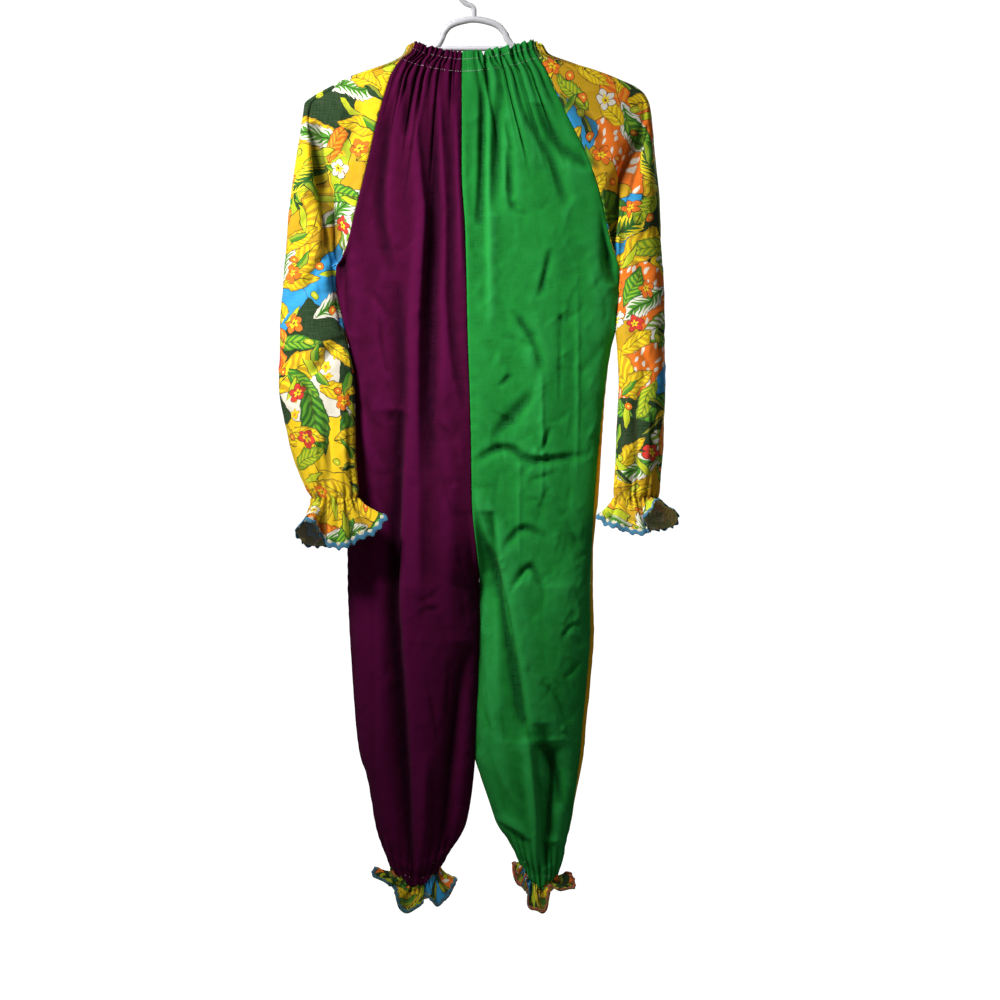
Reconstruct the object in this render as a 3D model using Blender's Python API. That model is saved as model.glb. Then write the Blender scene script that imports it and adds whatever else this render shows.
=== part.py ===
"""Clown jumpsuit on a hanger, modelled at its real size.

A one-piece suit with raglan sleeves, sewn from plain and printed cotton.  The
neck, wrists and ankles are gathered on elastic and end in ruffles edged with
ric-rac braid.  The cloth hangs from the two arms of a moulded hanger.

Frame: metres, +Z up.  The front faces -Y and the wearer's right is at -X.
The origin is the inner top of the hook, where it hangs on a rail.
Every size below is in millimetres; MM turns it to metres when a mesh is made.

The suit is worked out in level sections.  Each half of the body is one ring of
cloth from the centre front round to the centre back, cut at the raglan and side
seams into its pieces.  The folds move that ring in and out.
"""

from collections import namedtuple
from functools import lru_cache
from math import atan2, ceil, cos, exp, hypot, pi, radians, sin, sqrt

import bmesh
import bpy
from mathutils import Vector

MM = 0.001

# ---------------------------------------------------------------- main sizes
CLOTH = 1.0            # thickness of a cloth wall
SEAM_GAP = 0.3         # between two pieces at their seam
TRIM_GAP = 1.1         # braid from the ruffle it is sewn on
TRIM_THICK = 1.0
TRIM_WIDTH = 6.0
TRIM_WAVE = 1.3        # ric-rac, up and down from its middle line

NECK_Z = -92.0         # nominal level of the gathered neck edge
UNDERARM_Z = -407.0
CROTCH_Z = -787.0
CROTCH_START_Z = -700.0   # here the centre seams begin to turn in
CROTCH_TURN = 2.4         # how late they turn: 1 is even, more is later
ANKLE_Z = -1158.0      # the ankle elastic
HEM_Z = -1172.0        # the cut edge just below it
WRIST_Z = -672.0       # the wrist elastic

FRONT_COLUMNS = 20
BACK_COLUMNS = 10
SLEEVE_HALF_COLUMNS = 11
SEAM_TO_GROOVE_COLUMNS = 5
SLEEVE_MIN_STEP = 1.2  # narrowest column of a sleeve
SLEEVE_EVEN_RUN = 80.0 # below the underarm its columns even out over this
GROOVE_SHARE = 0.8     # the groove lies within this share of half a sleeve
ROUND_BODY = 2.3       # superellipse power of the body's sections
ROUND_LEG = 2.1
CURVE_STEPS = 90       # points along a section before it is divided
SHARP_ANGLE = 55.0     # degrees past which an edge is shaded sharp

SIDES = {"right": -1, "left": 1}     # the wearer's sides, and their sign in X

# --------------------------------------------------------------- level sections
# The body: its centre seam, its side seams below the underarm (distances from
# the middle plane), half its depth, and how far the side seam is turned to the
# front on each side.
Body = namedtuple("Body", "z centre right left depth turn_right turn_left")
BODY = (
    Body(-92, -15.5, 80, 80, 20, 0, 0),
    Body(-122, -15.5, 120, 120, 23, 0, 0),
    Body(-165, -15.5, 200, 200, 27, 0, 0),
    Body(-250, -15.5, 200, 200, 32, 0, 0),
    Body(-330, -11.0, 190, 190, 36, 0, 0),
    Body(-407, -9.0, 177, 186, 38, 0, 0),
    Body(-440, -8.4, 167, 180, 39, 0, 1),
    Body(-468, -7.7, 161, 176.5, 40, 0, 1),
    Body(-526, -5.5, 157.5, 170.5, 42, 0, 2),
    Body(-604, -3.5, 157.5, 162.5, 44, 0, 6),
    Body(-675, -2.5, 160, 157.5, 46, 0, 8),
    Body(-739, 3.0, 163, 152, 47, 0, 3),
    Body(-787, 6.8, 162.5, 151, 46, 0, 6),
    Body(-907, 6.8, 160, 150, 44, 0, 10),
    Body(-1004, 6.8, 150, 140, 40, 0, 9),
    Body(-1062, 6.8, 140, 130, 36, 0, 2),
    Body(-1172, 6.8, 110, 110, 30, 0, 0),
)

# The yoke, from the neck to the underarm: the raglan seam, the groove where the
# arm begins, how far that groove stands forward of the middle plane, the outer
# edge of the arm, and half the depth of the arm.
Yoke = namedtuple("Yoke", "z seam groove groove_depth out depth")
YOKE = {
    "right": (
        Yoke(-92, 76, 77.5, 6.5, 84.5, 7.0),
        Yoke(-102, 81, 83, 6.5, 90, 7.0),
        Yoke(-112, 95, 98, 6.5, 106, 7.5),
        Yoke(-122, 103, 125, 8, 135, 8.5),
        Yoke(-133, 109, 157, 9, 168, 9.5),
        Yoke(-143, 112, 177, 9.5, 187, 10),
        Yoke(-153, 115, 195, 9.5, 205, 10),
        Yoke(-164, 118, 209, 8.5, 218, 10),
        Yoke(-186, 124, 213, 8.5, 221.5, 12),
        Yoke(-255, 140, 201, 10, 232, 17),
        Yoke(-304, 153, 197, 9.5, 238, 20),
        Yoke(-345, 163, 187.5, 9, 241.5, 21.5),
        Yoke(-364, 171, 183, 8.5, 243, 22),
        Yoke(-376, 178.6, 179.2, 6.5, 244, 23),
        Yoke(-388, 178.6, 178.8, 4.4, 245, 23.5),
        Yoke(-397, 178.2, 178.2, 2.6, 245.5, 23.5),
        Yoke(-407, 177, 177, 0, 246.5, 24),
    ),
    "left": (
        Yoke(-92, 75.5, 79.5, 6.5, 87, 7.0),
        Yoke(-102, 78, 85, 6.5, 94, 7.5),
        Yoke(-112, 84, 110, 7.5, 120, 8.5),
        Yoke(-122, 92, 145, 9, 155, 9.5),
        Yoke(-133, 98, 178, 9.5, 188, 10),
        Yoke(-143, 102, 199, 9.5, 210, 10),
        Yoke(-153, 107, 212, 9, 220.5, 10),
        Yoke(-166, 113, 219, 8.5, 226, 11),
        Yoke(-236, 147, 211, 9, 233.5, 15),
        Yoke(-275, 161, 201, 9, 237.5, 18),
        Yoke(-316, 170.5, 191.5, 9.5, 240, 20),
        Yoke(-345, 177, 189.8, 9, 241, 21.5),
        Yoke(-364, 184, 188.6, 8, 242, 22),
        Yoke(-376, 187.6, 188.2, 6.5, 243.5, 23),
        Yoke(-388, 187.6, 187.8, 4.4, 244, 23.5),
        Yoke(-397, 187.2, 187.2, 2.6, 244.5, 23.5),
        Yoke(-407, 186, 186, 0, 245, 24),
    ),
}

# The arm below the underarm: its inner and outer edge, its middle plane, which
# swings forward as it hangs, and half its depth.
Arm = namedtuple("Arm", "z inner out middle_y depth")
ARM = {
    "right": (
        Arm(-407, 178, 246.5, 0, 24),
        Arm(-440, 171, 249, -4, 24.5),
        Arm(-468, 163, 250, -9, 25),
        Arm(-526, 153, 251, -19, 26),
        Arm(-584, 152, 241, -29, 26),
        Arm(-623, 151, 231, -36, 25),
        Arm(-650, 149, 219, -42, 22),
        Arm(-662, 148.5, 213, -45, 20),
        Arm(-672, 150, 206.5, -48, 17),
    ),
    "left": (
        Arm(-407, 187, 245, 0, 24),
        Arm(-440, 184, 245, -2, 24.5),
        Arm(-468, 182.5, 245, -4, 25),
        Arm(-526, 186, 246, -8, 26),
        Arm(-584, 183.5, 245, -11, 26),
        Arm(-623, 182, 242, -13, 25),
        Arm(-650, 180.5, 239.5, -14, 22),
        Arm(-662, 180, 238, -14, 20),
        Arm(-672, 180.5, 236.5, -14, 17),
    ),
}

# The leg: its inseam and its outer edge in X, and half its depth.
Leg = namedtuple("Leg", "z inner out depth")
LEG = {
    "right": (
        Leg(-787, 5.6, -162.5, 46),
        Leg(-845, 5.0, -160, 45),
        Leg(-907, 3.6, -156, 43),
        Leg(-969, 0.5, -151, 41),
        Leg(-1004, -0.4, -145, 39),
        Leg(-1031, -1.6, -137, 38),
        Leg(-1062, -5.2, -131.5, 36),
        Leg(-1093, -13, -126.5, 34),
        Leg(-1124, -26, -119, 31),
        Leg(-1142, -39, -111, 28),
        Leg(-1158, -44, -107, 24),
        Leg(-1172, -42, -109, 25),
    ),
    "left": (
        Leg(-787, 8.0, 151, 46),
        Leg(-845, 8.0, 152, 45),
        Leg(-907, 6.6, 148, 43),
        Leg(-969, 3.6, 142, 41),
        Leg(-1004, 3.2, 139, 39),
        Leg(-1031, 9.5, 134.5, 38),
        Leg(-1062, 19.5, 129, 36),
        Leg(-1093, 30, 124, 34),
        Leg(-1124, 48, 117, 31),
        Leg(-1142, 55, 114.5, 28),
        Leg(-1158, 58, 115, 24),
        Leg(-1172, 56, 116, 25),
    ),
}

# Levels of the cross rows.
YOKE_ROWS = (-92, -103, -117, -132, -148, -167, -195, -230, -268, -308, -345,
             -374, -386, -397, -407)
TRUNK_ROWS = (-445, -490, -540, -590, -640, -685, -718, -745, -768, -787)
LEG_ROWS = (-822, -862, -906, -953, -1004, -1040, -1075, -1105, -1130, -1147,
            -1158, -1172)
ARM_ROWS = (-440, -482, -526, -570, -610, -640, -659, -672)
RUFFLE_ROWS = 3
RUFFLE_FLARE = 1.25    # how late a ruffle spreads from its gathers: 1 is even

# The neck edge dips at the centre seam and peaks at the raglan seams; the dip
# and the peaks die away below the neck.
NECK_DIP = -6.0
BACK_NECK_DIP = -9.0
NECK_PEAK = {"right": 8.0, "left": 10.0}
NECK_FADE = 42.0
NECK_CURVE = 1.6       # how late the edge rises from its dip: 1 is even

# The ankle elastic of the left leg hangs askew: its ends ride above its front.
ANKLE_LIFT = {"right": (2.0, 4.0), "left": (24.0, 8.0)}
ANKLE_FADE = 75.0
LIFT_CURVE = 1.5       # how late an end rises: 1 is even

# ------------------------------------------------------------------------ folds
# A fold runs down the cloth from its top to its foot.  Its half width may
# change on the way.  A depth above 0 stands out, below 0 it sinks in.
FOLD_ENDS = 0.7        # how quickly a fold grows from its ends: less is quicker
FOLD_TURN = 1.5        # how soon a fold dies away as the cloth turns to the side
Fold = namedtuple("Fold", "x_top z_top x_low z_low wide_top wide_low depth")

# Gathers under the neck elastic: where each sits on the neck edge, how far it
# runs down, and how deep it is.
Gather = namedtuple("Gather", "x lean run depth")
NECK_GATHERS = {
    "right": (
        Gather(-72, -4, 70, -3.0), Gather(-63, -5, 46, -2.2),
        Gather(-52, -4, 84, -3.2), Gather(-43, -2, 40, -2.0),
        Gather(-35, 0, 66, -2.6), Gather(-26, 1, 48, -2.6),
    ),
    "left": (
        Gather(-3, 0, 44, -2.0), Gather(10, 0, 120, -3.2),
        Gather(20, 3, 52, -2.6), Gather(30, 3, 74, -3.0),
        Gather(40, 10, 60, -2.6), Gather(50, 14, 56, -2.4),
        Gather(59, 18, 66, -2.6), Gather(68, 20, 50, -2.2),
    ),
}
# On both backs x is measured from the centre seam.
BACK_GATHERS = (
    Gather(5, 0, 40, -2.4), Gather(16, 1, 64, -3.0), Gather(27, 2, 36, -2.2),
    Gather(38, 3, 58, -2.6), Gather(49, 4, 72, -2.6), Gather(60, 5, 40, -2.2),
    Gather(71, 6, 52, -2.4),
)
GATHER_WIDE = (3.6, 8.0)
GATHER_REACH = 24.0    # from the neck level to where a gather is deepest

FRONT_FOLDS = (
    # right front, from the neck down
    Fold(-83, -138, -92, -215, 7, 9, -5.5),
    Fold(-106, -200, -112, -300, 9, 13, -6.0),
    Fold(-112, -290, -102, -385, 10, 8, -3.5),
    Fold(-79, -130, -66, -300, 7, 9, 4.5),
    Fold(-66, -290, -73, -470, 9, 8, 7.0),
    Fold(-73, -440, -72, -720, 8, 9, 6.0),
    Fold(-60, -180, -56, -330, 9, 13, -7.0),
    Fold(-54, -320, -62, -470, 13, 12, -6.0),
    Fold(-60, -450, -60, -640, 10, 12, -4.0),
    Fold(-44, -150, -38, -300, 7, 7, 3.5),
    Fold(-36, -185, -28, -330, 8, 9, -5.5),
    Fold(-30, -340, -14, -560, 9, 8, -4.5),
    Fold(-22, -160, -14, -400, 7, 8, 4.0),
    Fold(-126, -400, -104, -450, 9, 7, -3.5),
    Fold(-118, -430, -112, -520, 7, 7, -2.5),
    Fold(-84, -480, -95, -590, 14, 12, -7.0),
    Fold(-94, -570, -92, -780, 12, 13, -10.0),
    Fold(-93, -760, -90, -960, 14, 12, -12.0),
    Fold(-90, -940, -79, -1140, 12, 9, -11.0),
    Fold(-146, -540, -125, -600, 9, 8, 4.0),
    Fold(-14, -880, -40, -1040, 11, 13, -7.5),
    Fold(-40, -1020, -50, -1150, 12, 8, -9.0),
    Fold(-22, -560, -30, -860, 14, 14, 3.5),
    # left front
    Fold(11, -190, 9, -315, 7, 8, -5.5),
    Fold(17, -140, 20, -440, 7, 10, 3.5),
    Fold(31, -145, 26, -330, 9, 10, -6.0),
    Fold(42, -190, 54, -300, 7, 8, -4.0),
    Fold(62, -150, 108, -250, 8, 9, -4.0),
    Fold(104, -240, 118, -300, 8, 7, -3.5),
    Fold(84, -165, 146, -250, 11, 12, -7.0),
    Fold(97, -350, 80, -425, 7, 7, -4.0),
    Fold(50, -420, 84, -510, 8, 8, -4.0),
    Fold(86, -500, 87, -675, 7, 7, 2.5),
    Fold(132, -380, 134, -660, 7, 7, 2.0),
    Fold(2, -620, 40, -600, 9, 8, -4.5),
    Fold(40, -600, 88, -618, 8, 7, -4.0),
    Fold(88, -618, 138, -612, 7, 7, -2.5),
    Fold(30, -590, 76, -555, 10, 10, -4.0),
    Fold(36, -738, 66, -712, 7, 7, 3.5),
    Fold(16, -715, 40, -830, 9, 12, 7.0),
    Fold(40, -815, 70, -985, 12, 13, 7.5),
    Fold(18, -780, 34, -980, 11, 14, -8.0),
    Fold(72, -975, 115, -1040, 9, 10, -7.0),
    Fold(48, -788, 72, -760, 7, 7, -4.0),
    Fold(72, -760, 96, -800, 7, 7, -3.5),
    Fold(30, -1062, 72, -1092, 7, 7, 4.5),
    Fold(92, -1095, 118, -1108, 7, 7, 4.5),
    Fold(78, -990, 80, -1130, 9, 8, 5.5),
    Fold(100, -1040, 98, -1150, 9, 7, -8.0),
    # right sleeve
    Fold(-150, -150, -176, -300, 13, 12, -4.0),
    Fold(-212, -215, -224, -330, 10, 9, 4.0),
    Fold(-182, -345, -236, -420, 9, 9, -4.5),
    Fold(-170, -470, -205, -510, 10, 9, -4.5),
    Fold(-232, -500, -196, -590, 11, 9, -4.5),
    Fold(-190, -560, -182, -668, 9, 7, -5.5),
    Fold(-168, -540, -166, -668, 8, 7, 4.0),
    Fold(-206, -600, -198, -668, 7, 7, 4.0),
    # left sleeve
    Fold(150, -140, 186, -260, 12, 12, -4.0),
    Fold(222, -215, 226, -330, 9, 9, 4.0),
    Fold(196, -330, 236, -420, 9, 9, -4.5),
    Fold(206, -440, 232, -520, 9, 9, -4.0),
    Fold(212, -520, 200, -600, 9, 8, -4.5),
    Fold(208, -580, 206, -668, 8, 7, -4.5),
    Fold(224, -560, 222, -668, 7, 7, 4.0),
    Fold(192, -590, 194, -668, 7, 7, 4.0),
)

BACK_FOLDS = (
    Fold(-70, -135, -84, -330, 8, 13, -5.5),
    Fold(-44, -130, -40, -420, 8, 12, 5.5),
    Fold(-20, -150, -16, -360, 8, 10, -4.5),
    Fold(6, -140, 4, -390, 8, 11, 4.5),
    Fold(36, -135, 52, -330, 8, 13, -5.5),
    Fold(60, -150, 96, -300, 9, 12, 4.0),
    Fold(-112, -330, -96, -600, 13, 14, -7.0),
    Fold(-60, -430, -66, -700, 12, 13, 6.0),
    Fold(84, -400, 76, -640, 13, 14, -7.0),
    Fold(30, -450, 44, -660, 12, 13, 4.5),
    Fold(-92, -640, -86, -930, 14, 14, -9.0),
    Fold(-40, -760, -52, -1010, 13, 13, 6.0),
    Fold(-120, -760, -112, -1020, 13, 12, 5.5),
    Fold(-86, -920, -76, -1140, 12, 8, -9.0),
    Fold(52, -700, 62, -960, 13, 13, 7.0),
    Fold(96, -720, 94, -1000, 13, 13, -7.5),
    Fold(92, -980, 88, -1135, 12, 8, -7.5),
    Fold(-176, -200, -206, -330, 12, 11, -4.0),
    Fold(-205, -440, -222, -540, 11, 10, -4.5),
    Fold(-186, -550, -182, -668, 9, 7, 4.5),
    Fold(176, -200, 214, -330, 12, 11, -4.0),
    Fold(206, -430, 222, -540, 10, 10, -4.5),
    Fold(204, -550, 210, -668, 9, 7, 4.5),
)

# Puckers at the elastics: how many round, and how deep; they run a short way
# up the cloth.
Pucker = namedtuple("Pucker", "count depth run")
WRIST_PUCKERS = Pucker(11, 1.6, 38.0)
ANKLE_PUCKERS = Pucker(13, 1.7, 42.0)

# ---------------------------------------------------------------------- ruffles
# The loose edge of each ruffle, as points round it from the side that faces the
# body, over the front: the place round the elastic that each is gathered from,
# and how far it lies across, deep and down from the middle of the elastic.
Wave = namedtuple("Wave", "place x y z")
WRIST_RUFFLE = {
    "right": (
        Wave(0, 66, -4, -24), Wave(0.06, 54, -20, -43),
        Wave(0.13, 34, -20, -52), Wave(0.2, 14, -30, -63),
        Wave(0.26, -3, -24, -62), Wave(0.32, -13, -15, -54),
        Wave(0.38, -26, -36, -33), Wave(0.45, -45, -30, -36),
        Wave(0.52, -41, -8, -56), Wave(0.62, -20, 7, -62),
        Wave(0.75, 6, 14, -54), Wave(0.88, 38, 12, -42),
    ),
    "left": (
        Wave(0, -48, -2, -25), Wave(0.06, -39, -18, -34),
        Wave(0.13, -17, -26, -41), Wave(0.2, 5, -29, -47),
        Wave(0.26, 14, -28, -43), Wave(0.31, 13, -39, -26),
        Wave(0.37, 25, -45, -7), Wave(0.43, 43, -34, -14),
        Wave(0.5, 51, -12, -33), Wave(0.62, 34, 6, -40),
        Wave(0.75, 8, 18, -42), Wave(0.88, -26, 14, -38),
    ),
}
ANKLE_RUFFLE = {
    "right": (
        Wave(0, 53, 3, -8), Wave(0.07, 45, -15, -27),
        Wave(0.14, 29, -23, -38), Wave(0.2, 15, -21, -27),
        Wave(0.25, 6, -37, -38), Wave(0.31, -11, -42, -45),
        Wave(0.37, -25, -33, -32), Wave(0.41, -29, -20, -22),
        Wave(0.45, -41, -19, -14), Wave(0.5, -56, -3, 0),
        Wave(0.6, -45, 17, -12), Wave(0.7, -20, 22, -26),
        Wave(0.8, -1, 37, -35), Wave(0.9, 24, 25, -26),
    ),
    "left": (
        Wave(0, -35, 2, -6), Wave(0.08, -27, -13, -24),
        Wave(0.14, -17, -20, -26), Wave(0.19, -13, -36, -40),
        Wave(0.25, 2, -42, -52), Wave(0.31, 15, -35, -40),
        Wave(0.36, 20, -22, -28), Wave(0.42, 33, -20, -32),
        Wave(0.5, 46, -3, -24), Wave(0.58, 35, 17, -20),
        Wave(0.67, 17, 20, -28), Wave(0.75, 1, 36, -38),
        Wave(0.84, -16, 26, -28), Wave(0.92, -31, 13, -18),
    ),
}
ANKLE_RUFFLE_TUCK = 9.0     # how far it reaches up inside the hem
TUCK_GAP = 0.9              # between the hem's inside and the ruffle
TUCK_BELOW = 1.5            # it turns out this far below the hem

# ----------------------------------------------------------------------- hanger
WIRE = 3.2                  # radius of the hook's rod
HOOK_INNER = 17.0           # inner radius of the hook
HANGER_TUBE = 4.3           # radius of the arms and the arch
BAR_TUBE = 3.2
TUBE_SIDES = 8
TUBE_END = 0.6              # how far a rounded end stands out, in radii
ARM_STEP = 14.0             # between the rings of the arms and the arch
BAR_STEP = 30.0
# The path of the moulding: up one arm, over the arch, and down the other.
Place = namedtuple("Place", "x z")
HANGER_PATH = (
    Place(-197, -156.5), Place(-185, -150.2), Place(-143, -130.5),
    Place(-94, -109.8), Place(-58, -94.5), Place(-47.5, -88.5), Place(-42, -80),
    Place(-38, -70.5), Place(-27, -60.8), Place(0, -54.8), Place(27, -60.8),
    Place(38.5, -70.5), Place(43, -80), Place(49.5, -87.5), Place(60, -92),
    Place(107, -109.2), Place(164, -130), Place(188, -141), Place(200, -147),
)
BAR_Z = -92.5
BAR_ENDS = (-47.0, 49.0)
# The hook turns over the rail from its tip to its stem, whose foot stands on the
# arch.
HOOK_TURN = (-20, 230)      # degrees round the rail
HOOK_STEP = 16
HOOK_FOOT = (Place(-9.5, -35), Place(-2.2, -38), Place(0, -42.5))

# ------------------------------------------------------------------ materials
Finish = namedtuple("Finish", "colour roughness metallic")
FINISHES = {
    "plum_cotton": Finish((0.105, 0.005, 0.050), 0.85, 0.0),
    "green_cotton": Finish((0.018, 0.270, 0.045), 0.85, 0.0),
    "yellow_cotton": Finish((0.600, 0.330, 0.010), 0.85, 0.0),
    "printed_cotton": Finish((0.560, 0.420, 0.030), 0.85, 0.0),
    "blue_braid": Finish((0.020, 0.170, 0.330), 0.80, 0.0),
    "teal_braid": Finish((0.025, 0.110, 0.170), 0.80, 0.0),
    "rust_braid": Finish((0.330, 0.055, 0.015), 0.80, 0.0),
    "white_plastic": Finish((0.800, 0.800, 0.790), 0.25, 0.0),
}


# ------------------------------------------------------------- small functions
def lerp(a, b, t):
    """The value that lies t of the way from a to b."""
    return a + (b - a) * t


def ease(t):
    """0 to 1 with a level start and end."""
    t = min(max(t, 0.0), 1.0)
    return t * t * (3.0 - 2.0 * t)


@lru_cache(maxsize=None)
def slopes(table, column):
    """The slope of a column at each row, so that it never overshoots."""
    z = [row.z for row in table]
    v = [getattr(row, column) for row in table]
    steps = [(v[i + 1] - v[i]) / (z[i + 1] - z[i]) for i in range(len(z) - 1)]
    inner = [0.0 if a * b <= 0 else 2 * a * b / (a + b)
             for a, b in zip(steps, steps[1:])]
    return [steps[0]] + inner + [steps[-1]]


def read(table, column, z):
    """A column of a section table at any level, as a smooth curve."""
    z = min(max(z, table[-1].z), table[0].z)
    i = 0
    while i < len(table) - 2 and z < table[i + 1].z:
        i += 1
    a, b = table[i], table[i + 1]
    m = slopes(table, column)
    h = b.z - a.z
    t = (z - a.z) / h
    t2, t3 = t * t, t * t * t
    return ((2 * t3 - 3 * t2 + 1) * getattr(a, column) + (t3 - 2 * t2 + t) * h * m[i]
            + (3 * t2 - 2 * t3) * getattr(b, column) + (t3 - t2) * h * m[i + 1])


def lengths(points):
    """The distance along a line of 2-D points at each of them."""
    total = [0.0]
    for a, b in zip(points, points[1:]):
        total.append(total[-1] + hypot(b[0] - a[0], b[1] - a[1]))
    return total


def divide(points, stations):
    """Points at the given distances along a line, with the outward normal."""
    along = lengths(points)
    made = []
    i = 0
    for s in stations:
        s = min(max(s, 0.0), along[-1])
        while i < len(along) - 2 and along[i + 1] < s:
            i += 1
        while i > 0 and along[i] > s:
            i -= 1
        a, b = points[i], points[i + 1]
        span = max(along[i + 1] - along[i], 1e-9)
        t = (s - along[i]) / span
        made.append((lerp(a[0], b[0], t), lerp(a[1], b[1], t)))
    return made


def closed_curve(waves, t):
    """A smooth closed curve through the waves; t goes from 0 to 1 round it."""
    n = len(waves)
    t %= 1.0
    i = max(k for k in range(n) if waves[k].place <= t)
    end = waves[i + 1].place if i + 1 < n else 1.0
    f = (t - waves[i].place) / (end - waves[i].place)
    p = [Vector(waves[(i + k) % n][1:]) for k in (-1, 0, 1, 2)]
    return 0.5 * ((2 * p[1]) + (p[2] - p[0]) * f
                  + (2 * p[0] - 5 * p[1] + 4 * p[2] - p[3]) * f * f
                  + (3 * p[1] - p[0] - 3 * p[2] + p[3]) * f * f * f)


# -------------------------------------------------------------- section curves
def body_curve(centre, edge, depth, power, reach=1.0):
    """From the centre seam to the side: the front quarter of a flat oval."""
    points = []
    for i in range(CURVE_STEPS + 1):
        a = reach * pi / 2 * i / CURVE_STEPS
        points.append((centre + (edge - centre) * sin(a) ** (2 / power),
                       -depth * cos(a)))
    return points


def leg_curve(inner, out, depth):
    """From the inseam over the front to the side of a leg."""
    middle, half = (inner + out) / 2, (out - inner) / 2
    points = []
    for i in range(CURVE_STEPS + 1):
        a = pi * i / CURVE_STEPS
        c = cos(a)
        across = abs(c) ** (2 / ROUND_LEG) * (1 if c > 0 else -1)
        points.append((middle - half * across, -depth * sin(a)))
    return points


def yoke_curve(side, z):
    """Centre seam to the outer edge of the arm, and where the seam lies on it."""
    sign = SIDES[side]
    table = YOKE[side]
    centre = read(BODY, "centre", z)
    depth = read(BODY, "depth", z)
    seam, groove, groove_depth, out, arm_depth = (
        read(table, name, z) for name in ("seam", "groove", "groove_depth", "out",
                                          "depth"))
    # the body's oval is sized so that it passes through the groove
    near = (1 - min(groove_depth / depth, 0.98) ** 2) ** (1 / ROUND_BODY)
    edge = centre + (sign * groove - centre) / near
    span = edge - centre
    points = []
    for i in range(CURVE_STEPS + 1):
        a = pi / 2 * i / CURVE_STEPS
        x = centre + span * sin(a) ** (2 / ROUND_BODY)
        if sign * x >= groove:
            break
        points.append((x, -depth * cos(a)))
    points.append((sign * groove, -groove_depth))
    # the arm's oval starts at the groove and ends at the outer edge
    lift = min(groove_depth / arm_depth, 0.999)
    reach = sqrt(1 - lift * lift)
    half = (out - groove) / (1 + reach)
    middle = out - half
    start = atan2(lift, -reach)
    for i in range(1, CURVE_STEPS + 1):
        a = lerp(start, 0.0, i / CURVE_STEPS)
        points.append((sign * (middle + half * cos(a)), -arm_depth * sin(a)))
    along = lengths(points)
    seam_at = next(s for s, p in zip(along, points) if sign * p[0] >= seam - 1e-6)
    groove_at = next(s for s, p in zip(along, points)
                     if sign * p[0] >= groove - 1e-6)
    return points, seam_at, max(groove_at, seam_at)


def arm_curve(side, z):
    """From the underarm seam over the front of the arm to its outer edge."""
    sign = SIDES[side]
    inner, out, middle_y, depth = (read(ARM[side], name, z)
                                   for name in ("inner", "out", "middle_y", "depth"))
    middle, half = (inner + out) / 2, (out - inner) / 2
    return [(sign * (middle - half * cos(pi * i / CURVE_STEPS)),
             middle_y - depth * sin(pi * i / CURVE_STEPS))
            for i in range(CURVE_STEPS + 1)]


def trunk_curve(side, z):
    """Centre seam or inseam to the side, below the underarm."""
    sign = SIDES[side]
    centre = read(BODY, "centre", z)
    edge = sign * read(BODY, side, z)
    depth = read(BODY, "depth", z)
    if z >= CROTCH_START_Z:
        return body_curve(centre, edge, depth, ROUND_BODY)
    inner, out, leg_depth = (read(LEG[side], name, z)
                             for name in ("inner", "out", "depth"))
    leg = leg_curve(inner, out, leg_depth)
    if z <= CROTCH_Z:
        return leg
    turn = ((CROTCH_START_Z - z) / (CROTCH_START_Z - CROTCH_Z)) ** CROTCH_TURN
    body = body_curve(centre, edge, depth, ROUND_BODY)
    steps = [i / CURVE_STEPS for i in range(CURVE_STEPS + 1)]
    body = divide(body, [s * lengths(body)[-1] for s in steps])
    leg = divide(leg, [s * lengths(leg)[-1] for s in steps])
    return [(lerp(a[0], b[0], turn), lerp(a[1], b[1], turn))
            for a, b in zip(body, leg)]


def mirrored(points, middle_y=0.0):
    """The same line on the back of the suit."""
    return [(x, 2 * middle_y - y) for x, y in points]


# ------------------------------------------------------------- the cloth's rows
def even(start, end, count):
    """count + 1 distances from start to end."""
    return [lerp(start, end, i / count) for i in range(count + 1)]


def sleeve_stations(seam_at, groove_at, end, share):
    """Distances of a sleeve's columns from the raglan seam to the outer edge."""
    first = max(groove_at - seam_at, SEAM_TO_GROOVE_COLUMNS * SLEEVE_MIN_STEP,
                share * (end - seam_at) * SEAM_TO_GROOVE_COLUMNS
                / SLEEVE_HALF_COLUMNS)
    first = min(first, (end - seam_at) * GROOVE_SHARE)
    rest = SLEEVE_HALF_COLUMNS - SEAM_TO_GROOVE_COLUMNS
    return (even(seam_at, seam_at + first, SEAM_TO_GROOVE_COLUMNS)
            + even(seam_at + first, end, rest)[1:])


def yoke_row(side, z):
    """Front, sleeve and back of a level above the underarm, as flat points."""
    front, seam_at, groove_at = yoke_curve(side, z)
    end = lengths(front)[-1]
    stations = sleeve_stations(seam_at, groove_at, end, 0.0)
    sleeve_front = divide(front, stations)
    return {
        "front": divide(front, even(0.0, seam_at, FRONT_COLUMNS)),
        "sleeve": sleeve_front + mirrored(sleeve_front[:-1])[::-1],
        "back": mirrored(divide(front, even(0.0, seam_at, BACK_COLUMNS)))[::-1],
    }


def trunk_row(side, z):
    """Front and back of a level below the underarm, parted at the side seam."""
    front = trunk_curve(side, z)
    end = lengths(front)[-1]
    turn = read(BODY, "turn_" + side, z)
    around = front + mirrored(front[:-1])[::-1]
    return {
        "front": divide(around, even(0.0, end - turn, FRONT_COLUMNS)),
        "back": divide(around, even(end - turn, 2 * end, BACK_COLUMNS)),
    }


def arm_row(side, z):
    """The closed ring of a sleeve below the underarm, starting at its seam."""
    front = arm_curve(side, z)
    end = lengths(front)[-1]
    share = ease((UNDERARM_Z - z) / SLEEVE_EVEN_RUN)
    half = divide(front, sleeve_stations(0.0, 0.0, end, share))
    middle_y = read(ARM[side], "middle_y", z)
    return half + mirrored(half[:-1], middle_y)[::-1]


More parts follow.
